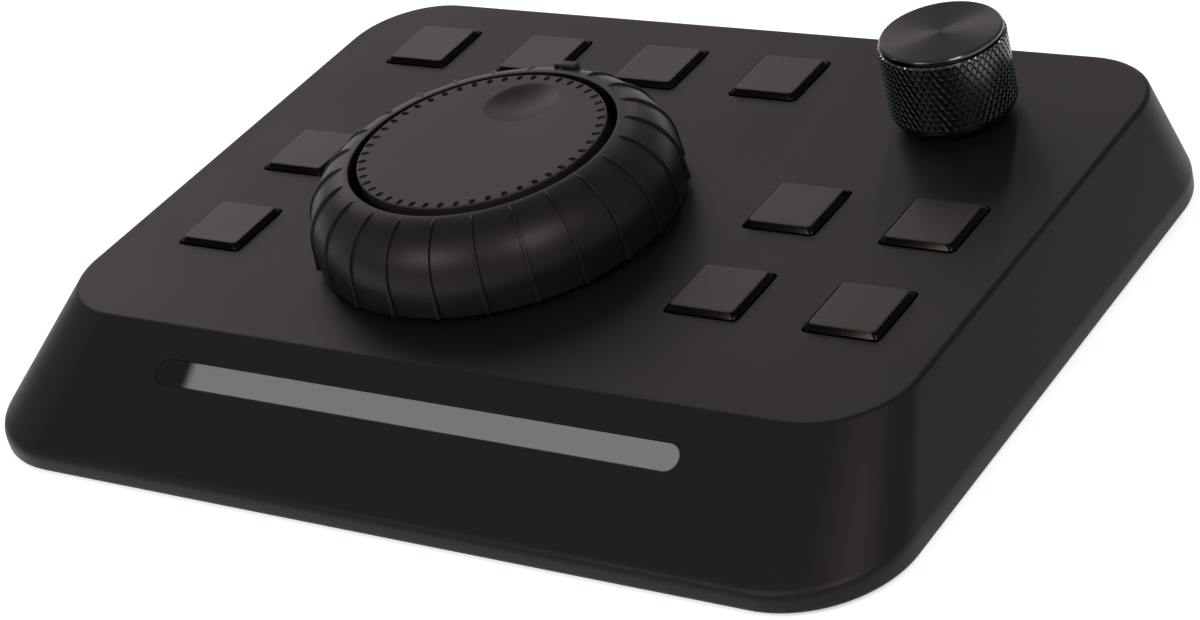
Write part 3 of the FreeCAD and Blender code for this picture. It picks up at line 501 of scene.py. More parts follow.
@dataclass(frozen=True)
class Anodised:
    """Black anodised aluminium with turning marks on its flat face."""

    colour: Triple
    roughness: float
    face_height: float
    centre: Pair
    face_colour: Triple
    ring_pitch: float = 0.16
    ring_depth: float = 0.002

    def make(self, name: str) -> bpy.types.Material:
        """Build the material: rings round the axis, only on the flat face.

        Args:
            name: Its name.

        Returns:
            The material.
        """
        paint = Paint(name, Metallic=1.0, Anisotropic=0.85, Anisotropic_Rotation=0.25)
        x, y, z = paint.axes()
        away_x, away_y = x - self.centre[0], y - self.centre[1]
        reach = (away_x * away_x + away_y * away_y).math("SQRT")
        face = z.between(self.face_height - 0.05, self.face_height - 0.02)
        ripple = (reach * (2 * math.pi / self.ring_pitch)).math("SINE") * 0.5 + 0.5
        wobble = paint.noise(0.5, 2.0)
        height = face * (ripple * 0.7 + wobble * 0.3)
        patches = paint.noise(6.0)
        return paint.finish(paint.blend(face, self.colour, self.face_colour),
                            self.roughness + (patches - 0.5) * 0.05 + face * 0.18, height, self.ring_depth)


@dataclass(frozen=True)
class Metal:
    """Plated or drawn metal with faint draw lines."""

    colour: Triple
    roughness: float

    def make(self, name: str) -> bpy.types.Material:
        """Build the material.

        Args:
            name: Its name.

        Returns:
            The material.
        """
        paint = Paint(name, Metallic=1.0)
        lines = paint.noise(0.6, 2.0, (1, 1, 12))
        return paint.finish(paint.blend(lines, scaled(self.colour, 0.9), self.colour),
                            self.roughness + (lines - 0.5) * 0.1, lines, 0.002)


@dataclass(frozen=True)
class Frosted:
    """Frosted diffuser, with painted shade darkening its left end."""

    colour: Triple
    # colour of the painted shade at the bar's left end
    painted_shade: Triple
    start: float
    end: float

    def make(self, name: str) -> bpy.types.Material:
        """Build the material: colour by the place along the bar, with painted shade at its left end, and a fine
        frost.

        Args:
            name: Its name.

        Returns:
            The material.
        """
        paint = Paint(name, Specular_IOR_Level=0.15)
        # painted shade: dark at the left end, fading to the frosted colour between start and end
        along = paint.axes()[0].between(self.start, self.end)
        frost = paint.noise(0.25, 2.0)
        return paint.finish(paint.blend(along, self.painted_shade, self.colour), 0.42 + (frost - 0.5) * 0.1, frost, 0.004)


@dataclass(frozen=True)
class Board:
    """Solder-masked circuit board with a faint weave."""

    colour: Triple

    def make(self, name: str) -> bpy.types.Material:
        """Build the material.

        Args:
            name: Its name.

        Returns:
            The material.
        """
        paint = Paint(name, Specular_IOR_Level=0.4)
        weave = paint.noise(0.8, 1.0)
        return paint.finish(paint.blend(weave, scaled(self.colour, 0.85), self.colour), 0.35 + weave * 0.1, weave,
                            0.01)


class Finish(Enum):
    """Every finish on the keypad."""

    HOUSING = Plastic((0.0032, 0.0031, 0.0031), 0.46, specular=0.19)
    BASE = Plastic((0.008, 0.0075, 0.0072), 0.55, grain=0.5, depth=0.012)
    KEY = Plastic((0.0090, 0.0078, 0.0071), 0.40, grain=0.3, depth=0.004, specular=0.26,
                  polished_below=PANEL_TOP + 0.93)
    RING = Plastic((0.0045, 0.0040, 0.0038), 0.42, grain=0.3, depth=0.004, specular=0.22)
    DISC = Plastic((0.0080, 0.0070, 0.0065), 0.46, grain=0.3, depth=0.005, specular=0.24)
    RUBBER = Plastic((0.012, 0.012, 0.012), 0.75, grain=0.6, depth=0.02, specular=0.3)
    INNER = Plastic((0.02, 0.02, 0.02), 0.5)
    WHITE_NYLON = Plastic((0.55, 0.54, 0.50), 0.45, specular=0.5)
    KNOB = Anodised((0.088, 0.086, 0.085), 0.14, PANEL_TOP + 16.0, KNOB_CENTRE, (0.023, 0.0223, 0.0222))
    STEEL = Metal((0.55, 0.54, 0.53), 0.28)
    BLACK_STEEL = Metal((0.06, 0.06, 0.062), 0.35)
    BRASS = Metal((0.62, 0.48, 0.24), 0.3)
    # the second colour is painted shade at the bar's left end
    DIFFUSER = Frosted((0.165, 0.172, 0.178), (0.003, 0.003, 0.003), -46.0, -43.3)
    BOARD = Board((0.012, 0.045, 0.02))
    CHIP = Plastic((0.015, 0.015, 0.016), 0.4, specular=0.5)

    def material(self) -> bpy.types.Material:
        """The Blender material, made once."""
        name = f"{self.name.lower()}_finish"
        return bpy.data.materials.get(name) or self.value.make(name)


def dress(piece: bpy.types.Object, finish: Finish, body: str, replaced: str) -> None:
    """Give a new piece its finish and its body, and hide the CAD node that it stands for.

    Args:
        piece: The new piece.
        finish: Its finish.
        body: CAD body that it moves with.
        replaced: CAD node that it stands for.
    """
    piece.data.materials.append(finish.material())
    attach(piece, body)
    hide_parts(replaced)
    LOG.info("%s: %d faces on %s", piece.name, len(piece.data.polygons), body)


# ---- Sub-assemblies ----


@dataclass
class Housing:
    """Moulded housing: upright rim, four slopes and the flat panel with its apertures."""

    width: float = 177.2
    depth: float = 132.6
    foot: float = 1.0
    rim_top: float = 4.3
    side_run: float = 6.25
    front_run: float = 22.3
    back_run: float = 0.95
    base_radius: float = 18.6
    top_radius: float = 15.3
    edge_radius: float = 1.1
    crease_radius: float = 2.0
    foot_radius: float = 0.7
    wall: float = 2.2
    rebate: float = 2.6
    margin: float = 0.5
    hole_ease: float = 0.35
    hole_round: float = 0.12
    corner_steps: int = 24
    arc_steps: int = 8
    aperture: float = 13.9
    aperture_radius: float = 1.0
    bar_length: float = 104.34
    bar_width: float = 4.74
    bar_drop: float = 8.3
    bush_radius: float = 4.75
    knob_bush_radius: float = 3.65

    def slope_angle(self) -> float:
        """Angle of the front slope from the horizontal, in radians."""
        return math.atan2(PANEL_TOP - self.rim_top, self.front_run)

    def slope_axes(self) -> Array:
        """Rows of the front slope's own axes: along it, up it and out of it."""
        angle = self.slope_angle()
        return np.array([[1, 0, 0], [0, math.cos(angle), math.sin(angle)], [0, -math.sin(angle), math.cos(angle)]])

    def on_slope(self, points: Array, depth: float = 0.0) -> Array:
        """Place rows of along and up-slope coordinates, from the bar's middle, on the front slope.

        Args:
            points: Rows of two coordinates.
            depth: How far below the surface, square to it.

        Returns:
            Rows of x, y and z.
        """
        axes = self.slope_axes()
        edge = np.array([0, self.front_run - self.depth / 2, PANEL_TOP])
        return edge - self.bar_drop * axes[1] - depth * axes[2] + points @ axes[:2]

    def flat_on_slope(self, corners: Array) -> Array:
        """Coordinates along and up the front slope, from the bar's middle, of points that lie on it."""
        return (corners - self.on_slope(np.zeros((1, 2)))) @ self.slope_axes()[:2].T

    def outline(self, inset: Triple, radius: float) -> Array:
        """Rounded rectangle with support points just inside each straight.

        Args:
            inset: How far the sides, the front and the back have come in.
            radius: Corner radius.

        Returns:
            Rows of x and y: for each corner one support, the arc, one support.
        """
        side, front, back = inset
        arcs = rounded_loop(self.width - 2 * side, self.depth - front - back, radius, self.corner_steps,
                            (0.0, (front - back) / 2)).reshape(4, -1, 2)
        along = spokes(quarter_turns(self.corner_steps) + np.pi / 2)
        first = arcs[:, :1] - self.margin * along[:, :1]
        last = arcs[:, -1:] + self.margin * along[:, -1:]
        return np.concatenate([first, arcs, last], 1).reshape(-1, 2)

    def outward(self) -> Array:
        """Outward horizontal direction at each point of an outline."""
        return polar(1.0, np.pad(quarter_turns(self.corner_steps), ((0, 0), (1, 1)), "edge").reshape(-1), 0.0)

    def skin_rows(self) -> Array:
        """Outer surface: foot arc, rim, crease arc, slope and top arc, as rows up each outline point.

        Each arc touches the straight lines on both sides of it, and the slope is the ruled surface
        between the bottom outline and the top outline.

        Returns:
            Grid of points, from the foot's inner edge up and onto the panel.
        """
        out = self.outward()
        up = np.broadcast_to([0.0, 0.0, 1.0], out.shape)
        base = self.outline((0, 0, 0), self.base_radius)
        top = at_height(self.outline((self.side_run, self.front_run, self.back_run), self.top_radius), PANEL_TOP)
        foot, crease = at_height(base, self.foot), at_height(base, self.rim_top)
        rise = unit(top - crease)
        foot_arc = fillet(foot, -out, up, self.foot_radius, 5)
        crease_arc = fillet(crease, -up, rise, self.crease_radius, self.arc_steps)
        top_arc = fillet(top, -rise, -out, self.edge_radius, self.arc_steps)
        return np.concatenate([(foot - self.wall * out)[None], foot_arc[:1] - self.margin * out, foot_arc, crease_arc,
                               crease_arc[-1:] + self.margin * rise, top_arc[:1] - self.margin * rise, top_arc,
                               top_arc[-1:] - self.margin * out])

    def inner_rows(self) -> Array:
        """Inner surface from the panel's underside down the slopes to the rebate and the foot.

        Returns:
            Grid of points whose columns match the outer surface's.
        """
        under = PANEL_TOP - self.wall
        share = (under - self.rim_top) / (PANEL_TOP - self.rim_top)
        side = self.wall / math.sin(math.atan2(PANEL_TOP - self.rim_top, self.side_run))
        front = self.wall / math.sin(self.slope_angle())
        high = self.outline((self.side_run * share + side, self.front_run * share + front,
                             self.back_run * share + self.wall),
                            self.base_radius + share * (self.top_radius - self.base_radius) - self.wall)
        low = self.outline((side, front, self.wall), self.base_radius - self.wall)
        rebate = self.outline((self.wall,) * 3, self.base_radius - self.wall)
        top = self.foot + self.rebate
        return np.stack([at_height(high, under), at_height(low, self.rim_top), at_height(low, top),
                         at_height(rebate, top), at_height(rebate, self.foot)])

    def holes(self, ease: float) -> list[Array]:
        """Loops of every aperture in the panel.

        Args:
            ease: How much they are widened all round.

        Returns:
            Ten square loops and two round ones.
        """
        size = self.aperture + 2 * ease
        loops = [rounded_loop(size, size, self.aperture_radius + ease, 6, centre) for centre in KEY_CENTRES]
        loops.append(round_loop(self.bush_radius + ease, 48, DIAL_CENTRE))
        loops.append(round_loop(self.knob_bush_radius + ease, 40, KNOB_CENTRE))
        return loops

    def slot(self, ease: float) -> Array:
        """Loop of the light bar's slot on the front slope, widened by an ease."""
        return slot_loop(self.bar_length, self.bar_width, ease)

    def build(self) -> None:
        """Make the housing as one closed shell."""
        skin = Skin()
        outer, inner = self.skin_rows(), self.inner_rows()
        side = self.corner_steps + 3
        front = 3 * side - 1
        slope = len(outer) - self.arc_steps - 4
        ease, soft = self.hole_ease, self.hole_round
        for surface, row, panel, depth, grow in ((outer, slope, -1, 0.0, ease), (inner, 0, 0, self.wall, 0.0)):
            skip = np.zeros((len(surface) - 1, surface.shape[1]), bool)
            skip[row, front] = True
            skin.grid(surface, skip)
            skin.plate(PANEL_TOP - depth, surface[panel], *self.holes(grow))
            corners = surface[[row, row, row + 1, row + 1], [front, front + 1, front + 1, front]]
            skin.flat(self.flat_on_slope(corners), [self.slot(grow)], partial(self.on_slope, depth=depth))
        skin.grid(np.stack([inner[-1], outer[0]]))
        levels = [(ease, 0.0), (soft, 0.0), (0.4 * soft, 0.1 * soft), (0.1 * soft, 0.4 * soft), (0.0, soft),
                  (0.0, self.wall)]
        loops = zip(*[[at_height(loop, PANEL_TOP - depth) for loop in self.holes(grow)] for grow, depth in levels])
        for rows in loops:
            skin.grid(np.stack(rows))
        skin.grid(np.stack([self.on_slope(self.slot(grow), depth) for grow, depth in levels]))
        dress(skin.build("housing"), Finish.HOUSING, "housing", "top_shell")


@dataclass
class Keys:
    """Ten low square keycaps with bevelled sides and a softly broken top edge."""

    top: float = 11.7
    flare: float = 0.8
    proud: float = 1.0
    top_radius: float = 0.75
    foot_radius: float = 0.95
    flange: float = 15.4
    flange_top: float = 16.4
    flange_thickness: float = 1.0
    wall: float = 1.3
    post: float = 3.4
    rib: float = 0.8
    post_foot: float = 12.6
    rim: float = 1.4
    edge_radius: float = 0.22
    room_radius: float = 0.4

    def build(self) -> None:
        """Make every keycap as one closed shell with its post inside."""
        for number, centre in enumerate(KEY_CENTRES, start=1):
            skin = Skin()
            top = PANEL_TOP + self.proud
            foot = self.top + 2 * self.flare
            below = self.flange_top - self.flange_thickness
            line = eased([(foot, self.flange_top), (foot, PANEL_TOP + 0.05), (self.top, top),
                          (self.top - self.rim, top)], self.edge_radius, 4)
            sizes = [(self.flange, below), (self.flange, self.flange_top)] + line
            rows = []
            for size, height in sizes:
                share = min(max((height - PANEL_TOP) / self.proud, 0), 1)
                radius = self.foot_radius + share * (self.top_radius - self.foot_radius)
                inset = max(0.0, (self.top - size) / 2)
                rows.append(at_height(rounded_loop(size, size, max(radius - inset, 0.1), 6, centre), height))
            room = foot - 2 * self.wall
            loop = rounded_loop(room, room, self.room_radius, 6, centre)
            skin.tube([at_height(loop, height) for height in (top - self.wall, below)] + rows)
            for half in ((self.post / 2, self.rib / 2), (self.rib / 2, self.post / 2)):
                loop = centre + CORNERS * half
                skin.tube([at_height(loop, height) for height in (self.post_foot, top - self.wall + 0.2)])
            dress(skin.build(f"key_{number}", 50), Finish.KEY, f"key_{number}", f"keycap_{number}")


@dataclass
class Shuttle:
    """Sprung shuttle ring: domed shoulder, finned grip and pointer."""

    lip_radius: float = 23.1
    lip_width: float = 0.5
    top: float = 15.1
    waist_radius: float = 31.9
    waist: float = 5.0
    gap: float = 0.9
    wall: float = 2.4
    web: float = 7.0
    web_thickness: float = 1.6
    hub_radius: float = 6.5
    hub_foot: float = 4.0
    bore: float = 3.25
    fins: int = 24
    fin_start: float = 24.3
    fin_proud: float = 0.4
    fin_tip: float = 32.6
    fin_foot: float = 1.3
    fin_top_width: float = 0.42
    fin_foot_width: float = 1.05
    pointer_width: float = 4.4
    pointer_shift: float = 0.2
    pointer_ease: float = 0.2
    pointer_line: tuple[Pair, ...] = ((25.4, 13.2), (25.4, 15.3), (27.2, 15.2), (27.2, 12.0))

    def arc(self) -> Pair:
        """Centre distance and radius of the shoulder's arc."""
        rise = self.top - self.waist
        run = self.waist_radius - self.lip_radius - self.lip_width
        radius = (rise * rise + run * run) / (2 * run)
        return self.waist_radius - radius, radius

    def outer_rows(self) -> tuple[Array, Array]:
        """Outer profile from the foot up to the lip, and the same with a fin on it.

        Above the waist both are circles about one centre, the fin's larger by its height; below it
        the ring's skin is upright while the fin's crest is a straight line out to its tip.

        Returns:
            Rows of radius and height, plain and finned.
        """
        centre, radius = self.arc()
        edge = self.waist_radius
        low = [(edge - 0.25, self.gap), (edge, self.gap + 0.2), (edge, self.fin_foot)]
        plain_low = np.linspace((edge, self.fin_foot), (edge, self.waist), 7)
        fin_low = np.linspace((self.fin_tip, self.fin_foot), (edge + self.fin_proud, self.waist), 7)
        first = math.acos((self.lip_radius + self.lip_width - centre) / radius)
        spoke = spokes(np.linspace(0, first, 27)[1:])
        plain_high = np.array([centre, self.waist]) + radius * spoke
        proud = self.fin_proud * np.clip((plain_high[:, :1] - self.fin_start) / 1.5, 0, 1) ** 0.5
        plain = np.concatenate([low, plain_low, plain_high])
        return plain, np.concatenate([low, fin_low, plain_high + proud * spoke])

    def build(self) -> None:
        """Make the ring: fins are part of one grid whose columns gather at each fin's flanks."""
        skin = Skin((*DIAL_CENTRE, PANEL_TOP))
        plain, finned = self.outer_rows()
        share = np.clip((plain[:, 1] - self.fin_foot) / (self.top - self.fin_foot), 0, 1)
        width = self.fin_foot_width + share * (self.fin_top_width - self.fin_foot_width)
        pitch = 2 * np.pi / self.fins
        flank = np.array([-0.5, -0.42, -0.3, 0.3, 0.42, 0.5])
        beside = np.linspace(0, 1, 11)[1:-1]
        mask = np.array([0, 0.82, 1, 1, 0.82, 0] + [0] * len(beside))
        near = flank * width[:, None] / plain[:, :1]
        far = near[:, -1:] + beside * (pitch + near[:, :1] - near[:, -1:])
        turn = np.concatenate([near, far], 1)
        turn = (turn[:, None, :] + pitch * np.arange(self.fins)[None, :, None]).reshape(len(plain), -1)
        cover = np.tile(mask, self.fins)[None, :, None]
        line = plain[:, None, :] + cover * (finned - plain)[:, None, :]
        outer = polar(line[..., 0], turn, line[..., 1])
        web_top = self.web + self.web_thickness
        centre, radius = self.arc()
        inner_reach = centre + math.sqrt((radius - self.wall) ** 2 - (web_top - self.waist) ** 2)
        lip, top, bore, hub = self.lip_radius, self.top, self.bore, self.hub_radius
        skirt = self.waist_radius - self.wall
        profile = [(lip + self.lip_width, top), (lip + 0.12, top), (lip, top - 0.12), (lip, top - self.wall),
                   (inner_reach, web_top), (bore, web_top), (bore, self.hub_foot), (hub, self.hub_foot),
                   (hub, self.web), (skirt, self.web), (skirt, self.gap), (self.waist_radius, self.gap)]
        reach, height = np.array(profile, float).T[..., None]
        inner = polar(reach, turn[-1], height)
        inner[-1] = outer[0]
        skin.grid(outer)
        skin.grid(inner)
        self.add_pointer(skin)
        dress(skin.build("shuttle_grip", 38), Finish.RING, "shuttle", "shuttle_ring")

    def add_pointer(self, skin: Skin) -> None:
        """Add the pointer: a block that stands out of the shoulder at the back, its edges broken.

        Args:
            skin: The ring's surfaces.
        """
        half, ease = self.pointer_width / 2, self.pointer_ease
        line = np.array(eased(self.pointer_line, 0.3, 3))
        middle = line.mean(0)
        rows = []
        for across, scale in ((-half, 0.82), (-half + 0.3 * ease, 0.94), (-half + ease, 1.0), (half - ease, 1.0),
                              (half - 0.3 * ease, 0.94), (half, 0.82)):
            points = middle + (line - middle) * scale
            rows.append(np.concatenate([np.full((len(points), 1), across + self.pointer_shift), points], 1))
        skin.tube(rows)


@dataclass
class JogDisc:
    """Finger disc with pits round its rim and one round dimple."""

    radius: float = 21.5
    top: float = 15.5
    thickness: float = 2.2
    skirt_wall: float = 1.5
    skirt_depth: float = 2.4
    pits: int = 48
    pit_start: float = 19.75
    pit_end: float = 21.27
    pit_half: float = 0.52
    pit_depth: float = 0.6
    edge: float = 0.2
    dimple_radius: float = 6.4
    dimple_depth: float = 1.25
    dimple_offset: float = 12.3
    dimple_lip: float = 0.35
    hub_radius: float = 4.5
    hub_depth: float = 4.2
    columns: int = 72

    def rim_rows(self) -> Array:
        """Ring of the top with its pits, and the rim down to its foot, as one grid.

        A pit is a slot with half round ends: its length at an offset s from its middle is bounded
        by the circles sqrt(w^2 - s^2), and its depth there is depth (1 - (s / w)^4).

        Returns:
            Rows from the middle outwards and down, round the origin.
        """
        w = self.pit_half
        share = np.array([-1, -0.94, -0.82, -0.55, 0, 0.55, 0.82, 0.94, 1])
        pitch = 2 * np.pi / self.pits
        beside = np.linspace(w / self.radius, pitch - w / self.radius, 6)[1:-1]
        none = np.zeros(len(beside))
        offset = np.concatenate([share * w, beside * self.radius])
        deep = np.concatenate([1 - share ** 4, none]) * self.pit_depth
        bulge = w - np.concatenate([np.sqrt(1 - share ** 2), none]) * w
        start, end, e = self.pit_start + bulge, self.pit_end - bulge, self.edge
        flat = np.zeros_like(offset)
        rim = flat + self.radius
        reach = [flat + self.pit_start - 0.7, start, start + 0.06, start + 0.2, end - 0.2, end - 0.06, end,
                 rim - e, rim - 0.6 * e, rim - 0.2 * e, rim, rim]
        drop = [flat, flat, 0.8 * deep, deep, deep, 0.8 * deep, flat, flat, flat + 0.1 * e, flat + 0.4 * e, flat + e,
                flat + self.thickness + self.skirt_depth]
        turn = (offset / self.radius)[None, :] + pitch * np.arange(self.pits)[:, None]
        reach, drop = (np.tile(np.stack(rows), (1, self.pits)) for rows in (reach, drop))
        return polar(reach, turn.reshape(1, -1), self.top - drop)

    def build(self) -> None:
        """Make the disc as one closed shell."""
        skin = Skin((*DIAL_CENTRE, PANEL_TOP))
        under = self.top - self.thickness
        foot = under - self.skirt_depth
        rows = self.rim_rows()
        skin.grid(rows)
        wide, deep, lip = self.dimple_radius, self.dimple_depth, self.dimple_lip
        bowl = (wide ** 2 + deep ** 2) / (2 * deep)
        turn = np.linspace(math.asin(wide / bowl), 0.02, 16)
        line = [(wide + lip, self.top), (wide + 0.5 * lip, self.top - 0.01), (wide, self.top - 0.05)]
        line += [(bowl * math.sin(t), self.top + bowl - deep - bowl * math.cos(t)) for t in turn[1:]]
        dimple = turned(line, self.columns, (0.0, self.dimple_offset))
        skin.plate(self.top, rows[0], dimple[0])
        skin.grid(dimple)
        skin.cap(dimple[-1])
        room = self.radius - self.skirt_wall
        hub = turned([(self.hub_radius, under), (self.hub_radius, under - self.hub_depth)], self.columns)
        inner = turned([(room, under), (room, foot)], 2 * self.columns)
        skin.plate(foot, rows[-1], inner[1])
        skin.grid(inner)
        skin.plate(under, inner[0], hub[0])
        skin.grid(hub)
        skin.cap(hub[1])
        dress(skin.build("jog_disc_top", 38), Finish.DISC, "jog", "jog_disc")


@dataclass
class Knob:
    """Turned aluminium knob with a spun face and a diamond-knurled grip."""

    radius: float = 10.8
    top: float = 16.0
    gap: float = 0.8
    face_radius: float = 10.1
    lip: float = 0.8
    groove: float = 0.5
    groove_width: float = 0.3
    band: float = 1.8
    foot_radius: float = 9.3
    core_radius: float = 8.2
    ceiling: float = 2.6
    diamonds: int = 56
    groove_half: float = 0.17
    knurl_depth: float = 0.24
    helix: float = math.radians(30)
    knurl_top: float = 14.62
    knurl_foot: float = 2.75
    edge: float = 0.3
    face_rim: float = 0.5
    columns: int = 224

    def knurl(self) -> tuple[Array, Array]:
        """Diamond knurl as a lattice of two crossing sets of helical grooves, cut off at both ends.

        With s along the girth and pitch p, the grooves run at whole values of
        u = (s + z tan h) / p and v = (s - z tan h) / p; lattice lines lie on each groove's bottom
        and on its two edges. The ends slope in at 45 degrees.

        Returns:
            Points round the origin, and triangles.
        """
        pitch = 2 * np.pi * self.radius / self.diamonds
        lean = 2 * math.tan(self.helix) / pitch
        steps = np.array([0.0, self.groove_half, 1 - self.groove_half])
        first, last = 3 * math.floor(self.knurl_foot * lean) - 3, 3 * math.ceil(self.knurl_top * lean) + 3
        v_line = np.arange(3 * self.diamonds)[:, None] + np.zeros(last - first + 1, int)
        u_line = v_line + np.arange(first, last + 1)
        u, v = (line // 3 + steps[line % 3] for line in (u_line, v_line))
        turn, height = (u + v) / 2 * pitch / self.radius, (u - v) / lean
        reach = self.radius - self.knurl_depth * ((u_line % 3 == 0) | (v_line % 3 == 0))
        points = polar(reach, turn, height)
        index = np.arange(u.size).reshape(u.shape)
        ahead = np.roll(index, -1, 0)
        cells = np.stack([index[:, 1:-1], index[:, 2:], ahead[:, 1:-1], ahead[:, :-2]], -1).reshape(-1, 4)
        mesh = bpy.data.meshes.new("knurl")
        mesh.from_pydata(points.reshape(-1, 3).tolist(), [], cells.tolist())
        work = bmesh.new()
        work.from_mesh(mesh)
        for level, side in ((self.knurl_foot, -1), (self.knurl_top, 1)):
            everything = work.verts[:] + work.edges[:] + work.faces[:]
            bmesh.ops.bisect_plane(work, geom=everything, dist=1e-4, plane_co=(0, 0, level), plane_no=(0, 0, side),
                                   clear_outer=True)
        ends = bmesh.ops.extrude_edge_only(work, edges=[edge for edge in work.edges if edge.is_boundary])
        root = self.radius - self.knurl_depth - 0.04
        for vert in (item for item in ends["geom"] if isinstance(item, bmesh.types.BMVert)):
            out = math.hypot(vert.co.x, vert.co.y)
            side = 1 if vert.co.z > self.top / 2 else -1
            vert.co = (vert.co.x * root / out, vert.co.y * root / out, vert.co.z + side * (out - root))
        bmesh.ops.triangulate(work, faces=work.faces)
        work.verts.index_update()
        points = np.array([vert.co[:] for vert in work.verts])
        triangles = np.array([[vert.index for vert in face.verts] for face in work.faces])
        work.free()
        bpy.data.meshes.remove(mesh)
        return points, triangles

    def build(self) -> None:
        """Make the knob: a turned body, and the knurl round it."""
        skin = Skin((*KNOB_CENTRE, PANEL_TOP))
        top, gap, core, face = self.top, self.gap, self.core_radius, self.face_radius
        root, rim = self.radius - self.knurl_depth - 0.02, self.radius - self.edge
        lip_foot, lip_radius, band_top = top - self.lip, face + self.edge, gap + self.band
        neck, groove_foot = lip_radius - self.groove, lip_foot - self.groove_width
        line = [(core, top - self.ceiling), (core, gap), (self.foot_radius, gap), (rim, band_top - 0.5),
                (rim, band_top), (root, band_top + 0.1), (root, groove_foot), (neck, groove_foot), (neck, lip_foot),
                (lip_radius, lip_foot), (lip_radius, top - self.edge), (face, top), (face - self.face_rim, top),
                (0.3, top)]
        skin.tube(turned(eased(line, 0.07, 2), self.columns))
        skin.add(*self.knurl())
        dress(skin.build("knob_grip", 30), Finish.KNOB, "knob", "knob")


@dataclass
class LightBar:
    """Frosted diffuser, flush in its slot, with the flange behind it."""

    length: float = 104.1
    width: float = 4.5
    flange: float = 1.6
    flange_back: float = 5.8
    flange_front: float = 2.3
    levels: tuple[Pair, ...] = ((0.0, 3.2), (0.0, 0.12), (-0.04, 0.04), (-0.12, 0.0), (-0.3, 0.0))

    def build(self, housing: Housing) -> None:
        """Make the diffuser.

        Args:
            housing: The housing, which gives its front slope.
        """
        skin = Skin()
        skin.tube([housing.on_slope(slot_loop(self.length, self.width, grow), depth) for grow, depth in self.levels])
        flange = rounded_loop(self.length + 2 * self.flange, self.width + 2 * self.flange, 0.3, 3)
        skin.tube([housing.on_slope(flange, depth) for depth in (self.flange_back, self.flange_front)])
        dress(skin.build("diffuser"), Finish.DIFFUSER, "housing", "light_bar")


@dataclass
class Underside:
    """Feet with softly rounded rims and socket-head screws in their wells."""

    foot_x: float = 72.6
    foot_y: float = 51.3
    foot_radius: float = 6.0
    foot_height: float = 1.0
    head_radius: float = 2.3
    head_height: float = 1.2
    seat: float = 4.4
    shank_radius: float = 1.25
    shank_top: float = 12.5
    socket: float = 1.25
    socket_depth: float = 0.8

    def build(self) -> None:
        """Make the feet and the screws."""
        feet = Skin()
        line = eased([(3.8, 0.12), (4.2, 0.0), (self.foot_radius - 0.05, 0.0), (self.foot_radius, self.foot_height),
                      (4.0, self.foot_height)], 0.3, 4)
        for centre in CORNERS * (self.foot_x, self.foot_y):
            feet.tube(turned(line, 64, centre))
        dress(feet.build("feet"), Finish.RUBBER, "housing", "rubber_feet")
        screws = Skin()
        for centre in SCREW_CENTRES:
            self.add_screw(screws, centre)
        dress(screws.build("screws", 35), Finish.BLACK_STEEL, "housing", "case_screws")

    def add_screw(self, skin: Skin, centre: Pair) -> None:
        """Add one screw whose head faces down, with a hexagon socket in it.

        Args:
            skin: The screws' surfaces.
            centre: Where its axis stands.
        """
        head_foot = self.seat - self.head_height
        head, shank = self.head_radius, self.shank_radius
        line = eased([(head - 0.35, head_foot), (head, head_foot + 0.25), (head, self.seat), (shank, self.seat),
                      (shank, self.shank_top)], 0.2, 3)
        rows = turned(line, 48, centre)
        hexagon, floor = round_loop(self.socket, 6, centre), head_foot + self.socket_depth
        skin.grid(rows)
        skin.cap(rows[-1])
        skin.plate(head_foot, rows[0], hexagon)
        skin.grid(np.stack([at_height(hexagon, floor), at_height(hexagon, head_foot)]))
        skin.cap(at_height(hexagon, floor)[::-1])


CAD_FINISHES: dict[Finish, dict[str, str]] = {
    Finish.BASE: {"base_plate": "base"},
    Finish.BOARD: {"main_board": "board", "light_board": "board"},
    Finish.CHIP: {"board_chips": "chip", "switch_bodies": "switch", "usb_tongue": "socket", "encoder_base": "casing"},
    Finish.STEEL: {"usb_shell": "socket", "shuttle_sleeve": "shaft", "shuttle_spring": "spring", "jog_shaft": "shaft",
                   "encoder_body": "casing", "encoder_shaft": "shaft"},
    Finish.WHITE_NYLON: {"light_leds": "lamp", "encoder_rotor": "rotor",
                         **{f"switch_plunger_{number}": "plunger" for number in range(1, 11)}},
    Finish.BRASS: {"light_flex": "flex"},
    Finish.INNER: {"dial_encoder": "casing", "knob_insert": "core"},
}


def dress_cad(nodes: Mapping[str, bpy.types.Object]) -> None:
    """Give every CAD node that still shows its finish.

    Args:
        nodes: The frame's nodes by name.
    """
    for finish, slots in CAD_FINISHES.items():
        for name, slot in slots.items():
            nodes[name].data.materials.clear()
            nodes[name].data.materials.append(finish.material())
        LOG.info("%s: %d CAD nodes", finish.name, len(slots))


# ---- Studio ----


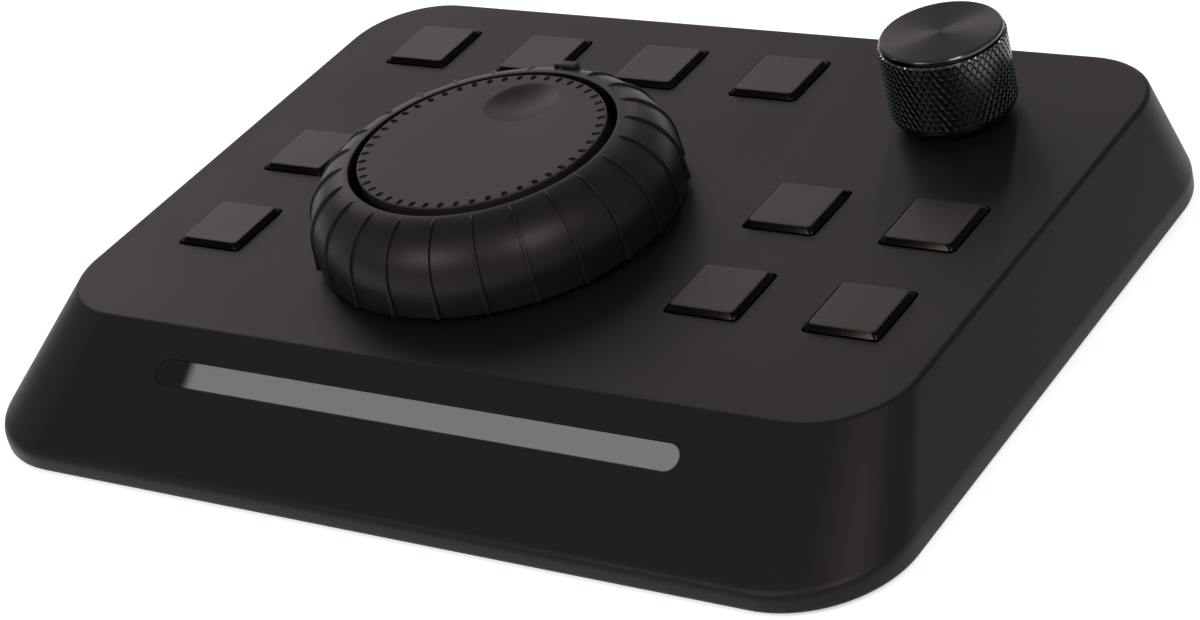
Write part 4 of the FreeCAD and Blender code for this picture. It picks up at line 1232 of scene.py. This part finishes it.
@dataclass
class Studio:
    """Pale floor, soft lamps, plain surroundings and the photograph's camera."""

    centre: Triple = (0.0218, -0.0237, 0.0189)
    distance: float = 0.5104
    azimuth: float = 40.35
    elevation: float = 30.57
    roll: float = -15.24
    lens: float = 96.5
    floor_size: float = 6.0
    ambient: float = 0.32
    lamp_colour: Triple = (1.0, 0.87, 0.84)

    def camera(self) -> None:
        """Set the camera at the photograph's place, turn and lens."""
        a, e, r = (math.radians(v) for v in (self.azimuth, self.elevation, self.roll))
        ahead = Vector((-math.sin(a) * math.cos(e), math.cos(a) * math.cos(e), -math.sin(e)))
        right = Vector((math.cos(a), math.sin(a), 0))
        up = right.cross(ahead)
        right, up = math.cos(r) * right + math.sin(r) * up, -math.sin(r) * right + math.cos(r) * up
        data = bpy.data.cameras.new("camera")
        data.sensor_width, data.lens, data.sensor_fit = 36.0, self.lens, "HORIZONTAL"
        data.clip_start, data.clip_end = 0.01, 50
        camera = link("camera", data)
        turn = Matrix((right, up, -ahead)).transposed().to_4x4()
        camera.matrix_world = Matrix.Translation(Vector(self.centre) - ahead * self.distance) @ turn
        bpy.context.scene.camera = camera

    def surroundings(self) -> None:
        """World: one plain soft light from all round."""
        world = bpy.data.worlds.new("world")
        bpy.context.scene.world = world
        world.use_nodes = True
        back = next(n for n in world.node_tree.nodes if n.type == "BACKGROUND")
        back.inputs["Color"].default_value = (1, 1, 1, 1)
        back.inputs["Strength"].default_value = self.ambient

    def floor(self) -> None:
        """Pale floor under the feet, white to whatever sees or mirrors it, and clear from below."""
        skin = Skin()
        skin.cap(at_height(-CORNERS * self.floor_size / 2 / MM, 0.0))
        floor = skin.build("floor")
        paint = Paint("floor", Base_Color=(0.9, 0.9, 0.9, 1), Roughness=0.9, Specular_IOR_Level=0.1,
                      Emission_Strength=1.0)
        camera, glossy, clear = (paint.node("ShaderNodeLightPath", output=f"Is {name} Ray")
                                 for name in ("Camera", "Glossy", "Transmission"))
        seen = camera.math("MAXIMUM", glossy).math("MAXIMUM", clear)
        below = paint.node("ShaderNodeNewGeometry", output="Backfacing")
        paint.feed({"Emission Color": paint.blend(seen, (0, 0, 0), (0.55, 0.55, 0.55)), "Alpha": 1 - below})
        floor.data.materials.append(paint.material)

    def lamp(self, name: str, place: Triple, size: Pair, watts: float) -> None:
        """Rectangular lamp aimed at the keypad.

        Args:
            name: Its name.
            place: Where it stands, in metres.
            size: Width and height, in metres.
            watts: Its power.
        """
        data = bpy.data.lights.new(name, "AREA")
        data.shape, data.size, data.size_y, data.energy = "RECTANGLE", *size, watts
        data.color = self.lamp_colour
        lamp = link(name, data)
        lamp.location = place
        lamp.rotation_euler = (Vector(self.centre) - Vector(place)).to_track_quat("-Z", "Y").to_euler()

    def build(self) -> None:
        """Set up camera, surroundings, floor and lamps."""
        bpy.context.scene.view_settings.view_transform = "Standard"
        self.camera()
        self.surroundings()
        self.floor()
        self.lamp("window", (-1.06, 0.89, 0.77), (1.0, 0.9), 3.5)
        self.lamp("fan_left", (-1.14, 0.66, 0.52), (0.06, 0.7), 0.6)
        self.lamp("fan_right", (-0.42, 1.25, 0.61), (0.06, 0.7), 0.9)
        self.lamp("front_box", (-0.24, -0.93, 0.74), (0.45, 0.35), 5.6)
        self.lamp("right_box", (0.72, -0.46, 0.84), (0.35, 0.45), 6.0)
        self.lamp("left_strip", (-1.2, -0.3, 0.45), (0.1, 0.8), 0.4)
        self.lamp("right_strip", (1.1, 0.3, 0.4), (0.1, 0.8), 0.4)


def main() -> None:
    """Build the keypad's looks round the frame, then the studio."""
    logging.basicConfig(level=logging.INFO, format="%(name)s: %(message)s", force=True)
    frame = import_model()
    housing = Housing()
    housing.build()
    Keys().build()
    Shuttle().build()
    JogDisc().build()
    Knob().build()
    LightBar().build(housing)
    Underside().build()
    dress_cad(frame["nodes"])
    Studio().build()


if __name__ == "__main__":
    main()
